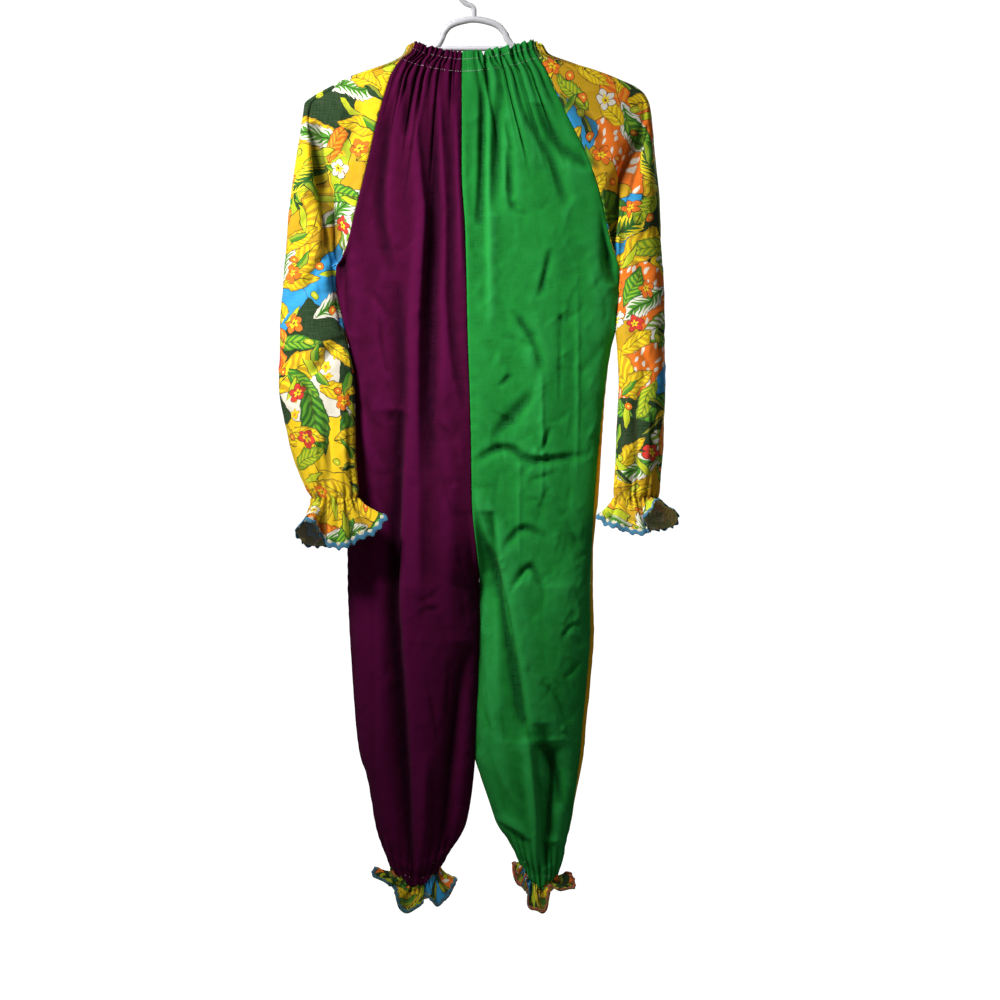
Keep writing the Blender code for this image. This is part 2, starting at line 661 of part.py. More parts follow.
def fold_depth(x, z, folds):
    """How far the folds move the cloth at a point of the front or the back."""
    total = 0.0
    for fold in folds:
        run_x, run_z = fold.x_low - fold.x_top, fold.z_low - fold.z_top
        run = hypot(run_x, run_z)
        dx, dz = x - fold.x_top, z - fold.z_top
        along = (dx * run_x + dz * run_z) / (run * run)
        if along <= 0.0 or along >= 1.0:
            continue
        across = (dx * run_z - dz * run_x) / run
        wide = lerp(fold.wide_top, fold.wide_low, along)
        if abs(across) > 3 * wide:
            continue
        total += (fold.depth * exp(-(across / wide) ** 2)
                  * sin(pi * along) ** FOLD_ENDS)
    return total


@lru_cache(maxsize=None)
def gathers(face):
    """The neck gathers of the front or the back, written as folds."""
    made = []
    for side, sign in SIDES.items():
        centre, turn, rows = 0.0, 1, NECK_GATHERS[side]
        if face == "back":
            centre, turn, rows = BODY[0].centre, sign, BACK_GATHERS
        for row in rows:
            x = centre + turn * row.x
            made.append(Fold(x, NECK_Z + GATHER_REACH, x + turn * row.lean,
                             NECK_Z - GATHER_REACH - row.run, *GATHER_WIDE,
                             row.depth))
    return tuple(made)


def pucker_depth(part, place, z):
    """The elastic's puckers; place is how far round the piece the point is."""
    if part == "sleeve":
        pucker, level = WRIST_PUCKERS, WRIST_Z
    else:
        pucker, level = ANKLE_PUCKERS, ANKLE_Z
    fade = max(0.0, 1.0 - abs(z - level) / pucker.run)
    return pucker.depth * fade * cos(2 * pi * pucker.count * place)


def neck_rise(side, x, seam, z, face):
    """How far the dip and peaks of the neck edge lift or drop a point."""
    fade = max(0.0, 1.0 - (NECK_Z - z) / NECK_FADE)
    if fade == 0.0:
        return 0.0
    centre = BODY[0].centre
    dip = NECK_DIP if face == "front" else BACK_NECK_DIP
    t = abs(x - centre) / abs(SIDES[side] * seam - centre)
    return fade * lerp(dip, NECK_PEAK[side], min(t, 1.0) ** NECK_CURVE)


def ankle_lift(side, x, z):
    """How far the ends of a leg's lowest rows ride up."""
    fade = ease(1.0 - (z - ANKLE_Z) / ANKLE_FADE)
    inner, out = (read(LEG[side], name, z) for name in ("inner", "out"))
    t = (x - inner) / (out - inner)
    lift_in, lift_out = ANKLE_LIFT[side]
    return fade * (lift_in * max(0.0, 1 - 2 * t) ** LIFT_CURVE
                   + lift_out * max(0.0, 2 * t - 1) ** LIFT_CURVE)


def raise_row(side, part, z, flat, closed=False):
    """Flat section points made into cloth points, with the folds added."""
    count = len(flat) - 1
    seam = read(YOKE[side], "seam", z)
    middle_y = read(ARM[side], "middle_y", z) if part == "sleeve" else 0.0
    row = []
    for j, (x, y) in enumerate(flat):
        before = flat[j - 1] if j > 0 else (flat[-2] if closed else flat[0])
        after = flat[j + 1] if j < count else (flat[1] if closed else flat[-1])
        tx, ty = after[0] - before[0], after[1] - before[1]
        size = max(hypot(tx, ty), 1e-9)
        nx, ny = SIDES[side] * ty / size, -SIDES[side] * tx / size
        front = y - middle_y < 0 if abs(y - middle_y) > 1e-6 else ny < 0
        face = "front" if front else "back"
        folds = FRONT_FOLDS if front else BACK_FOLDS
        depth = fold_depth(x, z, folds + gathers(face)) * abs(ny) ** FOLD_TURN
        depth += pucker_depth(part, j / count, z)
        rise = 0.0
        if z > UNDERARM_Z:
            rise = neck_rise(side, x, seam, z, face)
        elif part != "sleeve" and z < CROTCH_Z:
            rise = ankle_lift(side, x, z)
        row.append(Vector((x + nx * depth, y + ny * depth, z + rise)))
    if closed:
        row[-1] = row[0].copy()
    return row


def build_rows(side):
    """Every row of one half of the suit: {piece: [row of points, ...]}."""
    rows = {"front": [], "sleeve": [], "back": []}
    for z in YOKE_ROWS[:-1]:
        flat = yoke_row(side, z)
        for part in rows:
            rows[part].append(raise_row(side, part, z, flat[part]))
    for z in YOKE_ROWS[-1:] + TRUNK_ROWS + LEG_ROWS:
        flat = trunk_row(side, z)
        for part in ("front", "back"):
            rows[part].append(raise_row(side, part, z, flat[part]))
    for z in YOKE_ROWS[-1:] + ARM_ROWS:
        rows["sleeve"].append(raise_row(side, "sleeve", z, arm_row(side, z), True))
    rows["sleeve"] += ruffle_rows(rows["sleeve"][-1], WRIST_RUFFLE[side])
    return rows


def ruffle_rows(ring, waves):
    """Rows from an elastic's ring out to the waves of a ruffle's loose edge."""
    middle = sum(ring[:-1], Vector()) / (len(ring) - 1)
    count = len(ring) - 1
    made = []
    for k in range(1, RUFFLE_ROWS + 1):
        t = k / RUFFLE_ROWS
        row = []
        for j, point in enumerate(ring):
            edge = middle + closed_curve(waves, j / count)
            out = t ** RUFFLE_FLARE
            row.append(Vector((lerp(point.x, edge.x, out), lerp(point.y, edge.y, out),
                               lerp(point.z, edge.z, t))))
        made.append(row)
    return made


# -------------------------------------------------------------- walls of cloth
def normals(rows, ghost_first, ghost_last, sign):
    """Outward normals of a sheet; the ghosts are its neighbours' next columns."""
    made = []
    for k, row in enumerate(rows):
        up = rows[max(k - 1, 0)]
        down = rows[min(k + 1, len(rows) - 1)]
        line = []
        for j, point in enumerate(row):
            before = row[j - 1] if j > 0 else ghost_first[k]
            after = row[j + 1] if j < len(row) - 1 else ghost_last[k]
            across = after - before
            along = down[j] - up[j]
            normal = along.cross(across) * sign
            line.append(normal.normalized())
        made.append(line)
    return made


def arch_over(facing, j):
    """At the top of the underarm gap the cloth of a column faces half down."""
    underarm = len(YOKE_ROWS) - 1
    for k in (underarm - 1, underarm):
        facing[k][j] = (facing[k][j] + Vector((0, 0, -1))).normalized()


def moved(rows, facing, distance):
    """A sheet moved along its normals."""
    return [[p + n * distance for p, n in zip(row, line)]
            for row, line in zip(rows, facing)]


def trimmed(rows, keep_first=(), keep_last=()):
    """A sheet with half the seam gap taken off its first and last columns."""
    made = []
    for k, row in enumerate(rows):
        row = [p.copy() for p in row]
        half = SEAM_GAP / 2
        if k not in keep_first:
            row[0] += (row[1] - row[0]).normalized() * half
        if k not in keep_last:
            row[-1] += (row[-2] - row[-1]).normalized() * half
        made.append(row)
    return made


def wall(name, outer, inner, sign, material, closed_from=None):
    """A closed wall between two sheets of points.

    From row closed_from on, the last column is the first one again.
    """
    bm = bmesh.new()
    columns = len(outer[0])
    closed_from = len(outer) if closed_from is None else closed_from

    def grid(rows):
        made = []
        for k, row in enumerate(rows):
            line = [bm.verts.new(p * MM) for p in row[:-1]]
            line.append(line[0] if k >= closed_from else bm.verts.new(row[-1] * MM))
            made.append(line)
        return made

    out, into = grid(outer), grid(inner)

    def face(*verts):
        bm.faces.new(verts if sign > 0 else verts[::-1])

    def cell(k, j):
        """Both skins of one cell, split along the same, shorter diagonal."""
        a, b, c, d = ((k, j), (k + 1, j), (k + 1, j + 1), (k, j + 1))
        long_way = ((outer[k][j] - outer[k + 1][j + 1]).length
                    > (outer[k + 1][j] - outer[k][j + 1]).length)
        for p, q, r in ((a, b, d), (b, c, d)) if long_way else ((a, b, c), (a, c, d)):
            face(out[p[0]][p[1]], out[q[0]][q[1]], out[r[0]][r[1]])
            face(into[p[0]][p[1]], into[r[0]][r[1]], into[q[0]][q[1]])

    last = len(outer) - 1
    for k in range(last):
        for j in range(columns - 1):
            cell(k, j)
        if k < closed_from:
            face(out[k][0], into[k][0], out[k + 1][0])
            face(into[k][0], into[k + 1][0], out[k + 1][0])
            face(out[k][-1], out[k + 1][-1], into[k][-1])
            face(out[k + 1][-1], into[k + 1][-1], into[k][-1])
    for j in range(columns - 1):
        face(out[0][j], out[0][j + 1], into[0][j + 1], into[0][j])
        face(out[last][j], into[last][j], into[last][j + 1], out[last][j + 1])
    return add_object(name, bm, material)


def add_object(name, bm, material):
    """A finished mesh as an object with its material."""
    bmesh.ops.triangulate(bm, faces=bm.faces[:])
    mesh = bpy.data.meshes.new(name)
    bm.to_mesh(mesh)
    bm.free()
    mesh.shade_smooth()
    mesh.set_sharp_from_angle(angle=radians(SHARP_ANGLE))
    item = bpy.data.objects.new(name, mesh)
    bpy.context.scene.collection.objects.link(item)
    mesh.materials.append(material)
    return item


def column(rows, j):
    """One column of a sheet, from its first row to its last."""
    return [row[j] for row in rows]


# -------------------------------------------------------------- the suit's parts
def make_panels(rows, materials):
    """The two fronts and the two backs, from the neck to the ankles."""
    yoke, crotch = len(YOKE_ROWS) - 1, len(YOKE_ROWS + TRUNK_ROWS) - 1
    sheets = {}
    for side, sign in SIDES.items():
        own, other = rows[side], rows["left" if side == "right" else "right"]
        front, back, sleeve = own["front"], own["back"], own["sleeve"]
        for part, sheet in (("front", front), ("back", back)):
            ahead = part == "front"
            across = column(other[part], 1 if ahead else -2)
            inseam = column(back if ahead else front, -2 if ahead else 1)
            centre = across[:crotch] + inseam[crotch:]
            beside = column(sleeve[:yoke], 1 if ahead else -2)
            side_seam = column(back if ahead else front, 1 if ahead else -2)
            outside = beside + side_seam[yoke:]
            ghosts = (centre, outside) if ahead else (outside, centre)
            facing = normals(sheet, *ghosts, sign)
            arch_over(facing, -1 if ahead else 0)
            outer = trimmed(sheet)
            inner = trimmed(moved(sheet, facing, -CLOTH))
            colour = {"right": "plum_cotton",
                      "left": "green_cotton" if ahead else "yellow_cotton"}[side]
            wall(f"{part}_{side}_panel", outer, inner, sign, materials[colour])
            sheets[part, side] = inner
    return sheets


def make_sleeve(side, rows, materials):
    """A raglan sleeve with its wrist ruffle, and the braid on its edge."""
    sign = SIDES[side]
    own = rows[side]
    sheet = own["sleeve"]
    yoke = len(YOKE_ROWS) - 1
    first = column(own["front"][:yoke], -2) + column(sheet[yoke:], -2)
    last = column(own["back"][:yoke], 1) + column(sheet[yoke:], 1)
    facing = normals(sheet, first, last, sign)
    arch_over(facing, 0)
    arch_over(facing, -1)
    closed = range(yoke, len(sheet))
    outer = trimmed(sheet, closed, closed)
    inner = trimmed(moved(sheet, facing, -CLOTH), closed, closed)
    wall(f"sleeve_{side}", outer, inner, sign, materials["printed_cotton"], yoke)
    make_braid(f"cuff_trim_{side}", sheet[-2:], facing[-2:], sign,
               materials["blue_braid"], 2)


def make_braid(name, edge_rows, facing, sign, material, parts):
    """Ric-rac on the loose edge of a ruffle, made from the ruffle's own points.

    Each column of the ruffle carries one or two parts of the braid's zigzag.
    """
    above, edge = edge_rows
    columns = len(edge) - 1
    lines = []
    for reach in (TRIM_WIDTH, 0.0):
        outer, inner = [], []
        for j in range(parts * columns + 1):
            i, half = divmod(j, parts)
            nxt = min(i + half, columns)
            low = (edge[i] + edge[nxt]) / 2
            top = (above[i] + above[nxt]) / 2
            normal = (facing[1][i] + facing[1][nxt] + facing[0][i] + facing[0][nxt])
            normal.normalize()
            wave = TRIM_WAVE if j % 2 else -TRIM_WAVE
            down = (low - top).normalized()
            base = low - down * (reach - wave)
            inner.append(base + normal * TRIM_GAP)
            outer.append(base + normal * (TRIM_GAP + TRIM_THICK))
        lines.append((outer, inner))
    wall(name, [line[0] for line in lines], [line[1] for line in lines], sign,
         material, 0)


def make_ankle_ruffle(side, rows, sheets, materials):
    """The printed ruffle sewn inside an ankle's hem, and its braid."""
    sign = SIDES[side]
    front, back = sheets["front", side], sheets["back", side]
    rings = []
    for k in (-2, -1):
        ring = front[k] + back[k][1:]
        ring[-1] = ring[0].copy()
        rings.append(ring)
    middle = sum(rings[1][:-1], Vector()) / (len(rings[1]) - 1)
    tucked = []
    for ring in rings:
        line = []
        for p in ring:
            flat = Vector((p.x - middle.x, p.y - middle.y, 0.0))
            line.append(p - flat.normalized() * TUCK_GAP)
        tucked.append(line)
    top = [lerp(b, a, ANKLE_RUFFLE_TUCK / (ANKLE_Z - HEM_Z))
           for a, b in zip(*tucked)]
    low = [p + Vector((0, 0, -TUCK_BELOW)) for p in tucked[1]]
    waves = ANKLE_RUFFLE[side]
    sheet = [top, low] + ruffle_rows(low, waves)
    for row in sheet:
        row[-1] = row[0].copy()
    facing = normals(sheet, column(sheet, -2), column(sheet, 1), sign)
    wall(f"ankle_ruffle_{side}", sheet, moved(sheet, facing, -CLOTH), sign,
         materials["printed_cotton"], 0)
    braid = "teal_braid" if side == "right" else "rust_braid"
    make_braid(f"ankle_trim_{side}", sheet[-2:], facing[-2:], sign,
               materials[braid], 1)


# ------------------------------------------------------------------- the hanger
def smooth_path(places, step):
    """Points at about an even step along a smooth line through the places."""
    points = [Vector((p.x, 0.0, p.z)) for p in places]
    ends = [2 * points[0] - points[1]] + points + [2 * points[-1] - points[-2]]
    made = []
    for a, b, c, d in zip(ends, ends[1:], ends[2:], ends[3:]):
        parts = max(1, ceil((c - b).length / step))
        for i in range(parts):
            t = i / parts
            made.append(0.5 * (2 * b + (c - a) * t + (2 * a - 5 * b + 4 * c - d) * t * t
                               + (3 * b - a - 3 * c + d) * t * t * t))
    return made + [points[-1]]


def tube(bm, path, radius):
    """A round rod along a path in the X-Z plane, with rounded ends."""
    rings = []
    count = len(path)
    for i, point in enumerate(path):
        ahead = path[min(i + 1, count - 1)] - path[max(i - 1, 0)]
        ahead.normalize()
        side = Vector((0, 1, 0))
        up = ahead.cross(side)
        rings.append([bm.verts.new((point + (side * cos(a) + up * sin(a)) * radius)
                                   * MM)
                      for a in (2 * pi * k / TUBE_SIDES for k in range(TUBE_SIDES))])
    for a, b in zip(rings, rings[1:]):
        for k in range(TUBE_SIDES):
            n = (k + 1) % TUBE_SIDES
            bm.faces.new((a[k], a[n], b[n], b[k]))
    for ring, end, point in ((rings[0], path[0] - path[1], path[0]),
                             (rings[-1], path[-1] - path[-2], path[-1])):
        tip = bm.verts.new((point + end.normalized() * radius * TUBE_END) * MM)
        for k in range(TUBE_SIDES):
            bm.faces.new((ring[k], ring[(k + 1) % TUBE_SIDES], tip))
    bmesh.ops.recalc_face_normals(bm, faces=bm.faces[:])


def make_hanger(material):
    """The moulded hanger: two arms, the arch between them and its cross bar."""
    bm = bmesh.new()
    tube(bm, smooth_path(HANGER_PATH, ARM_STEP), HANGER_TUBE)
    frame = add_object("hanger_frame", bm, material)
    bm = bmesh.new()
    tube(bm, smooth_path([Place(x, BAR_Z) for x in BAR_ENDS], BAR_STEP), BAR_TUBE)
    bar = add_object("bar_to_join", bm, material)
    bar.hide_render = True
    bar.display_type = "WIRE"
    union = frame.modifiers.new("join_bar", "BOOLEAN")
    union.operation = "UNION"
    union.solver = "EXACT"
    union.object = bar


def make_hook(material):
    """The hook: a rod that rises from the arch and turns over the rail."""
    radius = HOOK_INNER + WIRE
    arc = [Vector((radius * cos(radians(a)), 0,
                   radius * sin(radians(a)) - HOOK_INNER))
           for a in range(*HOOK_TURN, HOOK_STEP)]
    arch_top = max(place.z for place in HANGER_PATH) + HANGER_TUBE
    foot = [Vector((place.x, 0, place.z)) for place in HOOK_FOOT]
    foot.append(Vector((0, 0, arch_top + TUBE_END * WIRE + SEAM_GAP)))
    bm = bmesh.new()
    tube(bm, arc + foot, WIRE)
    add_object("hanger_hook", bm, material)


def make_materials():
    """One material for each finish."""
    made = {}
    for name, finish in FINISHES.items():
        material = bpy.data.materials.new(name)
        material.use_nodes = True
        shader = material.node_tree.nodes["Principled BSDF"]
        shader.inputs["Base Color"].default_value = (*finish.colour, 1.0)
        shader.inputs["Roughness"].default_value = finish.roughness
        shader.inputs["Metallic"].default_value = finish.metallic
        made[name] = material
    return made


def main():
    for item in list(bpy.data.objects):
        bpy.data.objects.remove(item, do_unlink=True)
    materials = make_materials()
    rows = {side: build_rows(side) for side in SIDES}
    sheets = make_panels(rows, materials)
    for side in SIDES:
        make_sleeve(side, rows, materials)
        make_ankle_ruffle(side, rows, sheets, materials)
    make_hanger(materials["white_plastic"])
    make_hook(materials["white_plastic"])


main()
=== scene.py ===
"""Clown jumpsuit on a hanger: its looks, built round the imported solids.

Every cloth piece is a fine shell on the form of its solid, worked out from the
same level sections, with the gathers, folds, creases and puckers of the real
suit added.  Lengths are in millimetres, and MM turns them to metres in a mesh.
The front faces -Y, the wearer's right is at -X, and the origin is the inner top
of the hanger's hook.
"""

from collections import namedtuple
from functools import lru_cache, partial
from math import atan2, cos, pi, radians, sin, sqrt

import bmesh
import bpy
import numpy as np
from mathutils import Matrix, Vector


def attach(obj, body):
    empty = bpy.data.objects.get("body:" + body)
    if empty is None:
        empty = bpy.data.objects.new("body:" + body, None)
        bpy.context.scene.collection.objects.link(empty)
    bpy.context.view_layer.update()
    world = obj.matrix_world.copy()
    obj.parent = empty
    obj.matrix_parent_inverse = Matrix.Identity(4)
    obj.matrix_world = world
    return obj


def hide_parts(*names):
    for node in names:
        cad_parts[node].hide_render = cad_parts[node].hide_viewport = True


MM = 0.001
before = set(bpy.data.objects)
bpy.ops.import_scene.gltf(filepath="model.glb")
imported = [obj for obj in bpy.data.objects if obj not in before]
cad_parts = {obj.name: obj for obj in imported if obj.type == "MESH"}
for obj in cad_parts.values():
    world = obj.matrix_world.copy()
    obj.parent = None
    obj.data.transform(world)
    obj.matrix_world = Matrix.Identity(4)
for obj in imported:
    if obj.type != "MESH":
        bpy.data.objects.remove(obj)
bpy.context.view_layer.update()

SIDES = {"right": -1, "left": 1}     # the wearer's sides, and their sign in X

# --------------------------------------------------------------- the suit's form
# The sections are those of the solids, but drawn in more at the ankles.
NECK_Z, UNDERARM_Z = -92.0, -407.0
CROTCH_Z, CROTCH_START_Z, CROTCH_TURN = -787.0, -700.0, 2.4
ANKLE_Z, HEM_Z, WRIST_Z = -1158.0, -1172.0, -672.0
ROUND_BODY, ROUND_LEG = 2.3, 2.1
CURVE_STEPS = 120

# The body: its centre seam, its side seams below the underarm (distances from
# the middle plane), half its depth, and how far the side seam is turned to the
# front on each side.
Body = namedtuple("Body", "z centre right left depth turn_right turn_left")
BODY = (
    Body(-92, -15.5, 80, 80, 20, 0, 0),
    Body(-122, -15.5, 120, 120, 23, 0, 0),
    Body(-165, -15.5, 200, 200, 27, 0, 0),
    Body(-250, -15.5, 200, 200, 32, 0, 0),
    Body(-330, -11.0, 190, 190, 36, 0, 0),
    Body(-407, -9.0, 177, 186, 38, 0, 0),
    Body(-440, -8.4, 170.2, 183.4, 39, 0, 1),
    Body(-455, -8.0, 166.3, 182.4, 39.5, 0, 1),
    Body(-478, -7.3, 161.0, 176.8, 40.5, 0, 1),
    Body(-526, -5.5, 157.5, 169.5, 42, 0, 2),
    Body(-604, -3.5, 157.5, 162.5, 44, 0, 6),
    Body(-675, -2.5, 160, 157.5, 46, 0, 8),
    Body(-739, 3.0, 163, 152, 47, 0, 3),
    Body(-787, 6.8, 162.5, 151, 46, 0, 6),
    Body(-907, 6.8, 160, 150, 44, 0, 10),
    Body(-1004, 6.8, 150, 140, 40, 0, 9),
    Body(-1062, 6.8, 140, 130, 36, 0, 2),
    Body(-1172, 6.8, 110, 110, 30, 0, 0),
)

# The yoke, from the neck to the underarm: the raglan seam, the groove where the
# arm begins, how far that groove stands forward of the middle plane, the outer
# edge of the arm, and half the depth of the arm.
Yoke = namedtuple("Yoke", "z seam groove groove_depth out depth")
YOKE = {
    "right": (
        Yoke(-92, 76, 77.5, 6.5, 84.5, 7.0),
        Yoke(-102, 81, 83, 6.5, 90, 7.0),
        Yoke(-112, 95, 98, 6.5, 106, 7.5),
        Yoke(-122, 103, 125, 8, 135, 8.5),
        Yoke(-133, 109, 157, 9, 168, 9.5),
        Yoke(-143, 112, 177, 9.5, 187, 10),
        Yoke(-153, 115, 195, 9.5, 205, 10),
        Yoke(-164, 118, 209, 8.5, 218, 10),
        Yoke(-186, 124, 213, 8.5, 221.5, 12),
        Yoke(-255, 140, 201, 10, 232, 17),
        Yoke(-304, 153, 197, 9.5, 238, 20),
        Yoke(-345, 163, 187.5, 9, 241.5, 21.5),
        Yoke(-364, 171, 183, 8.5, 243, 22),
        Yoke(-376, 178.6, 179.2, 6.5, 244, 23),
        Yoke(-388, 178.6, 178.8, 4.4, 245, 23.5),
        Yoke(-397, 178.2, 178.2, 2.6, 245.5, 23.5),
        Yoke(-407, 177, 177, 0, 246.5, 24),
    ),
    "left": (
        Yoke(-92, 75.5, 79.5, 6.5, 87, 7.0),
        Yoke(-102, 78, 85, 6.5, 94, 7.5),
        Yoke(-112, 84, 110, 7.5, 120, 8.5),
        Yoke(-122, 92, 145, 9, 155, 9.5),
        Yoke(-133, 98, 178, 9.5, 188, 10),
        Yoke(-143, 102, 199, 9.5, 210, 10),
        Yoke(-153, 107, 212, 9, 220.5, 10),
        Yoke(-166, 113, 219, 8.5, 226, 11),
        Yoke(-236, 147, 211, 9, 233.5, 15),
        Yoke(-275, 161, 201, 9, 237.5, 18),
        Yoke(-316, 170.5, 191.5, 9.5, 240, 20),
        Yoke(-345, 177, 189.8, 9, 241, 21.5),
        Yoke(-364, 184, 188.6, 8, 242, 22),
        Yoke(-376, 187.6, 188.2, 6.5, 243.5, 23),
        Yoke(-388, 187.6, 187.8, 4.4, 244, 23.5),
        Yoke(-397, 187.2, 187.2, 2.6, 244.5, 23.5),
        Yoke(-407, 186, 186, 0, 245, 24),
    ),
}

# The arm below the underarm: its inner and outer edge, its middle plane, which
# swings forward as it hangs, and half its depth.
Arm = namedtuple("Arm", "z inner out middle_y depth")
ARM = {
    "right": (
        Arm(-407, 178, 246.5, 0, 24),
        Arm(-440, 170.6, 249, -4, 24.5),
        Arm(-455, 166.7, 249.5, -6.5, 24.8),
        Arm(-478, 161.3, 250.2, -10.5, 25.2),
        Arm(-526, 153, 251, -19, 26),
        Arm(-584, 152, 241, -29, 26),
        Arm(-623, 151, 231, -36, 25),
        Arm(-650, 149, 219, -42, 22),
        Arm(-662, 148.5, 213, -45, 20),
        Arm(-672, 150, 206.5, -48, 17),
    ),
    "left": (
        Arm(-407, 187, 245, 0, 24),
        Arm(-440, 183.9, 245, -2, 24.5),
        Arm(-455, 182.9, 245, -3, 24.8),
        Arm(-478, 184.8, 245, -5, 25.2),
        Arm(-526, 186.8, 246, -8, 26),
        Arm(-584, 183.5, 245, -11, 26),
        Arm(-623, 182, 242, -13, 25),
        Arm(-650, 180.5, 239.5, -14, 22),
        Arm(-662, 180, 238, -14, 20),
        Arm(-672, 180.5, 236.5, -14, 17),
    ),
}

# The leg: its inseam and its outer edge in X, and half its depth.
Leg = namedtuple("Leg", "z inner out depth")
LEG = {
    "right": (
        Leg(-787, 6.8, -162.5, 46),
        Leg(-845, 6.5, -160, 45),
        Leg(-907, 5.1, -156, 43),
        Leg(-969, 2.2, -151, 41),
        Leg(-1004, 0.6, -146, 39),
        Leg(-1031, -1.6, -137, 38),
        Leg(-1062, -5.2, -131.5, 36),
        Leg(-1093, -11, -126.5, 34),
        Leg(-1124, -20, -121, 31),
        Leg(-1142, -28, -116.5, 28),
        Leg(-1158, -37, -111, 24),
        Leg(-1172, -44, -106, 24),
    ),
    "left": (
        Leg(-787, 7.0, 151, 46),
        Leg(-845, 6.7, 152, 45),
        Leg(-907, 5.3, 148, 43),
        Leg(-969, 2.4, 142, 41),
        Leg(-1004, 2.4, 139, 39),
        Leg(-1031, 9.5, 134.5, 38),
        Leg(-1062, 19.5, 129, 36),
        Leg(-1093, 30, 124, 34),
        Leg(-1124, 41, 117.5, 31),
        Leg(-1142, 47, 114.5, 28),
        Leg(-1158, 54, 111, 24),
        Leg(-1172, 61, 106, 24),
    ),
}

# The neck edge dips at the centre seam and peaks at the raglan seams.
NECK_DIP, BACK_NECK_DIP = -6.0, -9.0
NECK_PEAK = {"right": 8.0, "left": 10.0}
NECK_FADE, NECK_CURVE = 42.0, 1.6
# The hems ride up at the inseam and at the side.
ANKLE_LIFT = {"right": (24.0, 24.0), "left": (30.0, 15.0)}
ANKLE_FADE, LIFT_CURVE = 75.0, 1.5

# The loose edge of each ruffle, as points round it from the side that faces the
# body, over the front: the place round the elastic that each is gathered from,
# and how far it lies across, deep and down from the middle of the elastic.
Wave = namedtuple("Wave", "place x y z")
WRIST_RUFFLE = {
    "right": (
        Wave(0, 66, -4, -24), Wave(0.06, 54, -20, -43),
        Wave(0.13, 34, -20, -52), Wave(0.2, 14, -30, -63),
        Wave(0.26, -3, -24, -62), Wave(0.32, -13, -15, -54),
        Wave(0.38, -26, -36, -33), Wave(0.45, -45, -30, -36),
        Wave(0.52, -41, -8, -56), Wave(0.62, -20, 7, -62),
        Wave(0.75, 6, 14, -54), Wave(0.88, 38, 12, -42),
    ),
    "left": (
        Wave(0, -48, -2, -25), Wave(0.06, -39, -18, -34),
        Wave(0.13, -17, -26, -41), Wave(0.2, 5, -29, -47),
        Wave(0.26, 14, -28, -43), Wave(0.31, 13, -39, -26),
        Wave(0.37, 25, -45, -7), Wave(0.43, 43, -34, -14),
        Wave(0.5, 51, -12, -33), Wave(0.62, 34, 6, -40),
        Wave(0.75, 8, 18, -42), Wave(0.88, -26, 14, -38),
    ),
}
ANKLE_RUFFLE = {
    "right": (
        Wave(0, 53, 3, 9), Wave(0.06, 47, -13, -6), Wave(0.12, 36, -22, -20),
        Wave(0.16, 27, -25, -24), Wave(0.2, 19, -21, -17), Wave(0.23, 12, -21, -12),
        Wave(0.27, 7, -33, -24), Wave(0.32, -9, -40, -32), Wave(0.36, -20, -36, -25),
        Wave(0.4, -26, -26, -13), Wave(0.43, -29, -18, -1), Wave(0.47, -39, -16, 4),
        Wave(0.51, -56, -6, 15), Wave(0.56, -52, 6, 21), Wave(0.64, -38, 18, 4),
        Wave(0.72, -20, 26, -14), Wave(0.8, 0, 35, -24), Wave(0.88, 24, 25, -14),
        Wave(0.95, 42, 14, 6),
    ),
    "left": (
        Wave(0, -34, 2, 26), Wave(0.05, -34, -10, 18), Wave(0.09, -27, -18, 3),
        Wave(0.12, -20, -20, 1), Wave(0.15, -15, -18, 12), Wave(0.18, -16, -25, 1),
        Wave(0.21, -17, -34, -15), Wave(0.25, -10, -41, -27), Wave(0.3, 2, -42, -32),
        Wave(0.35, 10, -37, -26), Wave(0.39, 15, -27, -10), Wave(0.42, 18, -20, 1),
        Wave(0.46, 30, -19, -4), Wave(0.5, 44, -13, -5), Wave(0.54, 47, -2, 3),
        Wave(0.58, 36, 9, 15), Wave(0.65, 26, 17, 4), Wave(0.73, 12, 23, -12),
        Wave(0.81, -4, 31, -20), Wave(0.89, -19, 22, -8), Wave(0.95, -30, 12, 12),
    ),
}
ANKLE_RUFFLE_TUCK = 9.0     # how far it reaches up inside the hem
TUCK_GAP = 1.6              # between the hem's inside and the ruffle
TUCK_BELOW = 1.5            # it turns out this far below the hem

# ------------------------------------------------------------- folds and creases
# A fold follows its path.  Its half width is given on its left and right, or
# above and below where it runs across, and a depth above 0 stands out.
Fold = namedtuple("Fold", "path left right depth")

